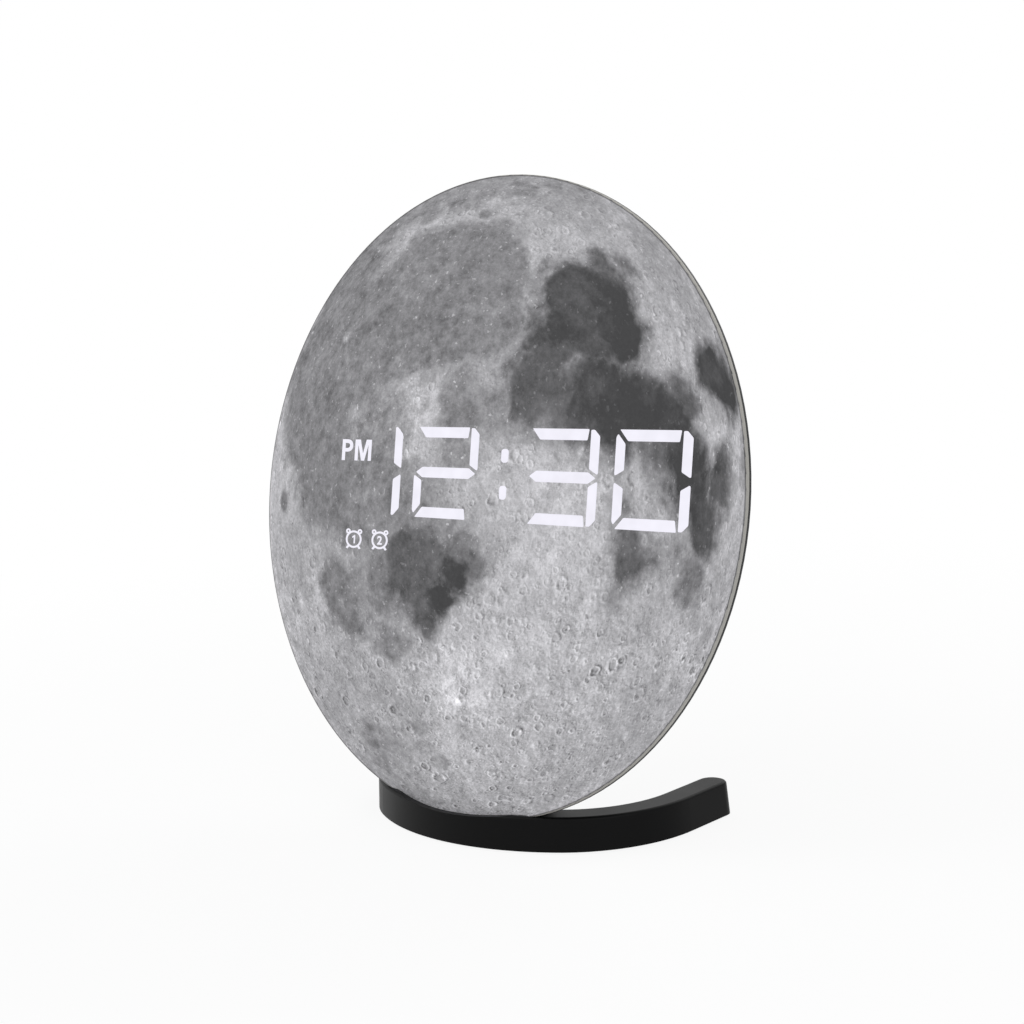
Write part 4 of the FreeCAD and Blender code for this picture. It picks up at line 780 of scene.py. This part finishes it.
def screw_shape(shank, head_radius, head_height, reach):
    """The mesh of one screw along +Z with its cross recess cut in."""
    turned_screw = bmesh.new()
    head_profile(turned_screw, shank, head_radius, head_height, reach)
    cross = bmesh.new()
    wing, web = head_radius * 0.56, head_radius * 0.13
    for turn in (0, 90):
        blade = bmesh.ops.create_cube(cross, size=1)["verts"]
        bmesh.ops.scale(cross, verts=blade, vec=(wing * 2, web * 2, head_height * 1.4))
        foot_verts = [point for point in blade if point.co.z < 0]
        bmesh.ops.scale(cross, verts=foot_verts, vec=(0.45, 0.6, 1))
        bmesh.ops.rotate(cross, verts=blade, matrix=Matrix.Rotation(math.radians(turn), 3, "Z"))
        bmesh.ops.translate(cross, verts=blade, vec=(0, 0, head_height * 1.1))
    body_mesh, cross_mesh = bpy.data.meshes.new("screw_body"), bpy.data.meshes.new("screw_cross")
    turned_screw.to_mesh(body_mesh)
    cross.to_mesh(cross_mesh)
    turned_screw.free()
    cross.free()
    body = bpy.data.objects.new("screw_body", body_mesh)
    cutter = bpy.data.objects.new("screw_cross", cross_mesh)
    for item in (body, cutter):
        bpy.context.scene.collection.objects.link(item)
    cutting = body.modifiers.new("recess", "BOOLEAN")
    cutting.operation = "DIFFERENCE"
    cutting.solver = "EXACT"
    cutting.use_self = True
    cutting.object = cutter
    bpy.context.view_layer.update()
    shape = bpy.data.meshes.new_from_object(body.evaluated_get(bpy.context.evaluated_depsgraph_get()))
    for item in (body, cutter):
        bpy.data.objects.remove(item)
    return shape


def screw_set(name, replaced, shape, places):
    """Copies of one screw, each turned a little differently, as one piece."""
    made = bmesh.new()
    for number, place in enumerate(places):
        known = len(made.verts)
        made.from_mesh(shape)
        made.verts.ensure_lookup_table()
        fresh = made.verts[known:]
        turn = Matrix.Rotation(math.radians(23 + 37 * number), 4, "Z")
        bmesh.ops.transform(made, matrix=place @ turn, verts=fresh)
    piece = new_piece(name, made)
    piece.data.materials.append(black_steel)
    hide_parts(replaced)


def on_head(across, depth, upward):
    """A place on the tilted head whose +Z axis points out of the back."""
    outward_turn = Matrix.Rotation(math.radians(-90), 4, "X")
    return head @ Matrix.Translation((across, depth, upward)) @ outward_turn


screw_shank, screw_head, screw_head_height = 0.0011, 0.0022, 0.0016
board_reach, cover_reach, neck_reach = 0.0065, 0.0085, 0.0072
board_screw = screw_shape(screw_shank, screw_head, screw_head_height, board_reach)
cover_screw = screw_shape(screw_shank, screw_head, screw_head_height, cover_reach)
neck_screw = screw_shape(screw_shank, screw_head, screw_head_height, neck_reach)
board_back, board_columns, board_rows = 0.0094, (-0.0510, 0.0555), (0.0237, -0.0207)
screw_set("board_screw_set", "board_screws", board_screw, [
    on_head(across, board_back, upward) for across in board_columns for upward in board_rows
])
cover_seat, cover_columns, cover_rows = 0.0126, (-0.0347, 0.0347), (0.0414, -0.0414)
screw_set("cover_screw_set", "cover_screws", cover_screw, [
    on_head(across, cover_seat, upward) for across in cover_columns for upward in cover_rows
])


# Rear cover: a black dish with bosses, a battery well and sound slots, moulded with a
# fine spark texture. Small marks are printed in pale ink above its buttons.
dress("rear_cover", textured_black)
cover_back = 0.0160
mark_ink, ink_tree, ink_place = start_material("mark_ink")
ink_worn = noise(ink_tree, ink_place, 900.0, 4.0, 0.7)
ink_colour = add_node(ink_tree, "ShaderNodeMix", {
    0: ramp(ink_tree, ink_worn, 0.62, 0.74), 6: grey(196), 7: grey(120),
}, data_type="RGBA").outputs[2]
ink_shader = add_node(ink_tree, "ShaderNodeBsdfPrincipled", {"Base Color": ink_colour, "Roughness": 0.6})
add_node(ink_tree, "ShaderNodeOutputMaterial", {"Surface": ink_shader.outputs[0]})

button_places = {
    "mode_button": -0.036, "alarm_button": -0.020, "up_button": -0.004,
    "down_button": 0.012, "light_button": 0.028,
}
mark_height = 0.0200
ink_layer = 0.00002


def stroke(made, first, second, thick):
    """A straight printed line, drawn as a thin rounded plate on the cover."""
    start, end = Vector(first), Vector(second)
    along = (end - start).normalized()
    side = Vector((-along.y, along.x)) * thick / 2
    corners = [start - side, end - side, end + side, start + side]
    known = len(made.verts)
    points = [made.verts.new((corner.x, 0, corner.y)) for corner in corners]
    plate = made.faces.new(points)
    raised = bmesh.ops.extrude_face_region(made, geom=[plate])
    back = [item for item in raised["geom"] if isinstance(item, bmesh.types.BMVert)]
    bmesh.ops.translate(made, verts=back, vec=(0, ink_layer, 0))
    made.verts.ensure_lookup_table()
    return made.verts[known:]


def printed_arc(made, radius, start, end, thick, middle=(0, 0), steps=16):
    """A curved printed line made of short strokes."""
    for step in range(steps):
        angles = [math.radians(start + (end - start) * (step + share) / steps) for share in (0, 1)]
        first, second = [
            (middle[0] + radius * math.cos(angle), middle[1] + radius * math.sin(angle)) for angle in angles
        ]
        stroke(made, first, second, thick)


line_wide = 0.00035
marks = bmesh.new()
for button, across in button_places.items():
    drawing = bmesh.new()
    if button == "mode_button":
        printed_arc(drawing, 0.0012, 0, 360, line_wide)
        stroke(drawing, (0, 0), (0, 0.0008), line_wide)
        stroke(drawing, (0, 0), (0.0006, 0), line_wide)
    elif button == "alarm_button":
        printed_arc(drawing, 0.0009, 0, 180, line_wide, (0, 0.0002))
        stroke(drawing, (-0.0009, 0.0002), (-0.0013, -0.0009), line_wide)
        stroke(drawing, (0.0009, 0.0002), (0.0013, -0.0009), line_wide)
        stroke(drawing, (-0.0014, -0.0009), (0.0014, -0.0009), line_wide)
        stroke(drawing, (-0.0003, -0.0013), (0.0003, -0.0013), line_wide)
    elif button == "up_button":
        stroke(drawing, (-0.0011, 0), (0.0011, 0), line_wide * 1.3)
        stroke(drawing, (0, -0.0011), (0, 0.0011), line_wide * 1.3)
    elif button == "down_button":
        stroke(drawing, (-0.0011, 0), (0.0011, 0), line_wide * 1.3)
    else:
        printed_arc(drawing, 0.0006, 0, 360, line_wide)
        for spoke in range(8):
            angle = math.radians(45 * spoke)
            stroke(drawing, (0.0010 * math.cos(angle), 0.0010 * math.sin(angle)),
                   (0.0015 * math.cos(angle), 0.0015 * math.sin(angle)), line_wide)
    bmesh.ops.rotate(drawing, verts=drawing.verts[:], matrix=Matrix.Rotation(math.pi, 3, "Z"))
    bmesh.ops.translate(drawing, verts=drawing.verts[:], vec=(across, cover_back + ink_layer, mark_height))
    join_in(marks, drawing)
bmesh.ops.recalc_face_normals(marks, faces=marks.faces[:])
bmesh.ops.transform(marks, matrix=head, verts=marks.verts[:])
cover_marks = new_piece("cover_marks", marks)
cover_marks.data.materials.append(mark_ink)


# Push buttons: five smooth black caps that stand proud of the cover, a little glossier
# than it where fingers rub them.
button_black = moulded("button_black", grey(34), 0.38, 0.0004, 0.00001, 0.5)
for button in button_places:
    dress(button, button_black)


# Coin cell, its cup, spring and door: a steel cell in a black cup, a plated spring
# behind it and a turning door with a coin slot.
cell_steel = metal("cell_steel", (0.62, 0.62, 0.60, 1), 0.28, (1, 1, 1), 0.06)
spring_plate = metal("spring_plate", (0.78, 0.66, 0.42, 1), 0.3, (1, 1, 1), 0.05)
dress("coin_cell", cell_steel)
dress("cell_contact", spring_plate)
dress("cell_holder", epoxy_black)
dress("battery_door", textured_black)


# Neck and curved stand: satin black mouldings. Their smooth skin mirrors the pale room
# softly, so the bar turns grey where it curves away.
satin_black = moulded("satin_black", grey(12, 1, 1, 1.03), 0.38, 0.0005, 0.000003, 0.08, 0.06)
dress("stand_neck", satin_black)
dress("base_bar", satin_black)
neck_seat, neck_columns, neck_row = 0.0183, (-0.008, 0.008), -0.0540
screw_set("neck_screw_set", "neck_screws", neck_screw, [
    on_head(across, neck_seat, neck_row) for across in neck_columns
])


# Weights, bottom strip and its screws: two steel bars laid in the legs, a thin black
# strip that closes the underside and four small screws flush with it.
weight_steel = metal("weight_steel", (0.36, 0.35, 0.34, 1), 0.45, (1, 5, 1), 0.2)
dress("base_weights", weight_steel)
dress("base_cover", textured_black)


def from_below(across, along, upward):
    """A place whose +Z axis points down, out of the underside."""
    return Matrix.Translation((across, along, upward)) @ Matrix.Rotation(math.pi, 4, "X")


strip_low, strip_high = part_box("base_cover_screws")
strip_head, strip_seat, front_across = 0.0015, 0.0011, 0.013
leg_across, leg_along = strip_high.x - strip_head, strip_high.y - strip_head
front_along = strip_low.y + strip_head
strip_screw = screw_shape(0.0008, 0.00145, 0.0006, 0.0025)
screw_set("base_cover_screw_set", "base_cover_screws", strip_screw, [
    from_below(side * across, along, strip_seat)
    for across, along in ((front_across, front_along), (leg_across, leg_along)) for side in (-1, 1)
])
stand_low, stand_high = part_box("stand_screws")
stand_head, stand_seat = 0.0028, 0.0035
stand_across, stand_along = stand_high.x - stand_head, (stand_low.y + stand_high.y) / 2
stand_screw = screw_shape(0.0014, stand_head, 0.0019, 0.0105)
screw_set("stand_screw_set", "stand_screws", stand_screw, [
    from_below(side * stand_across, stand_along, stand_seat) for side in (-1, 1)
])


# Feet: five soft rubber pads pressed into the strip.
foot_rubber = moulded("foot_rubber", grey(30), 0.85, 0.0003, 0.00003, 0.3)
dress("rubber_feet", foot_rubber)


low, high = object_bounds()
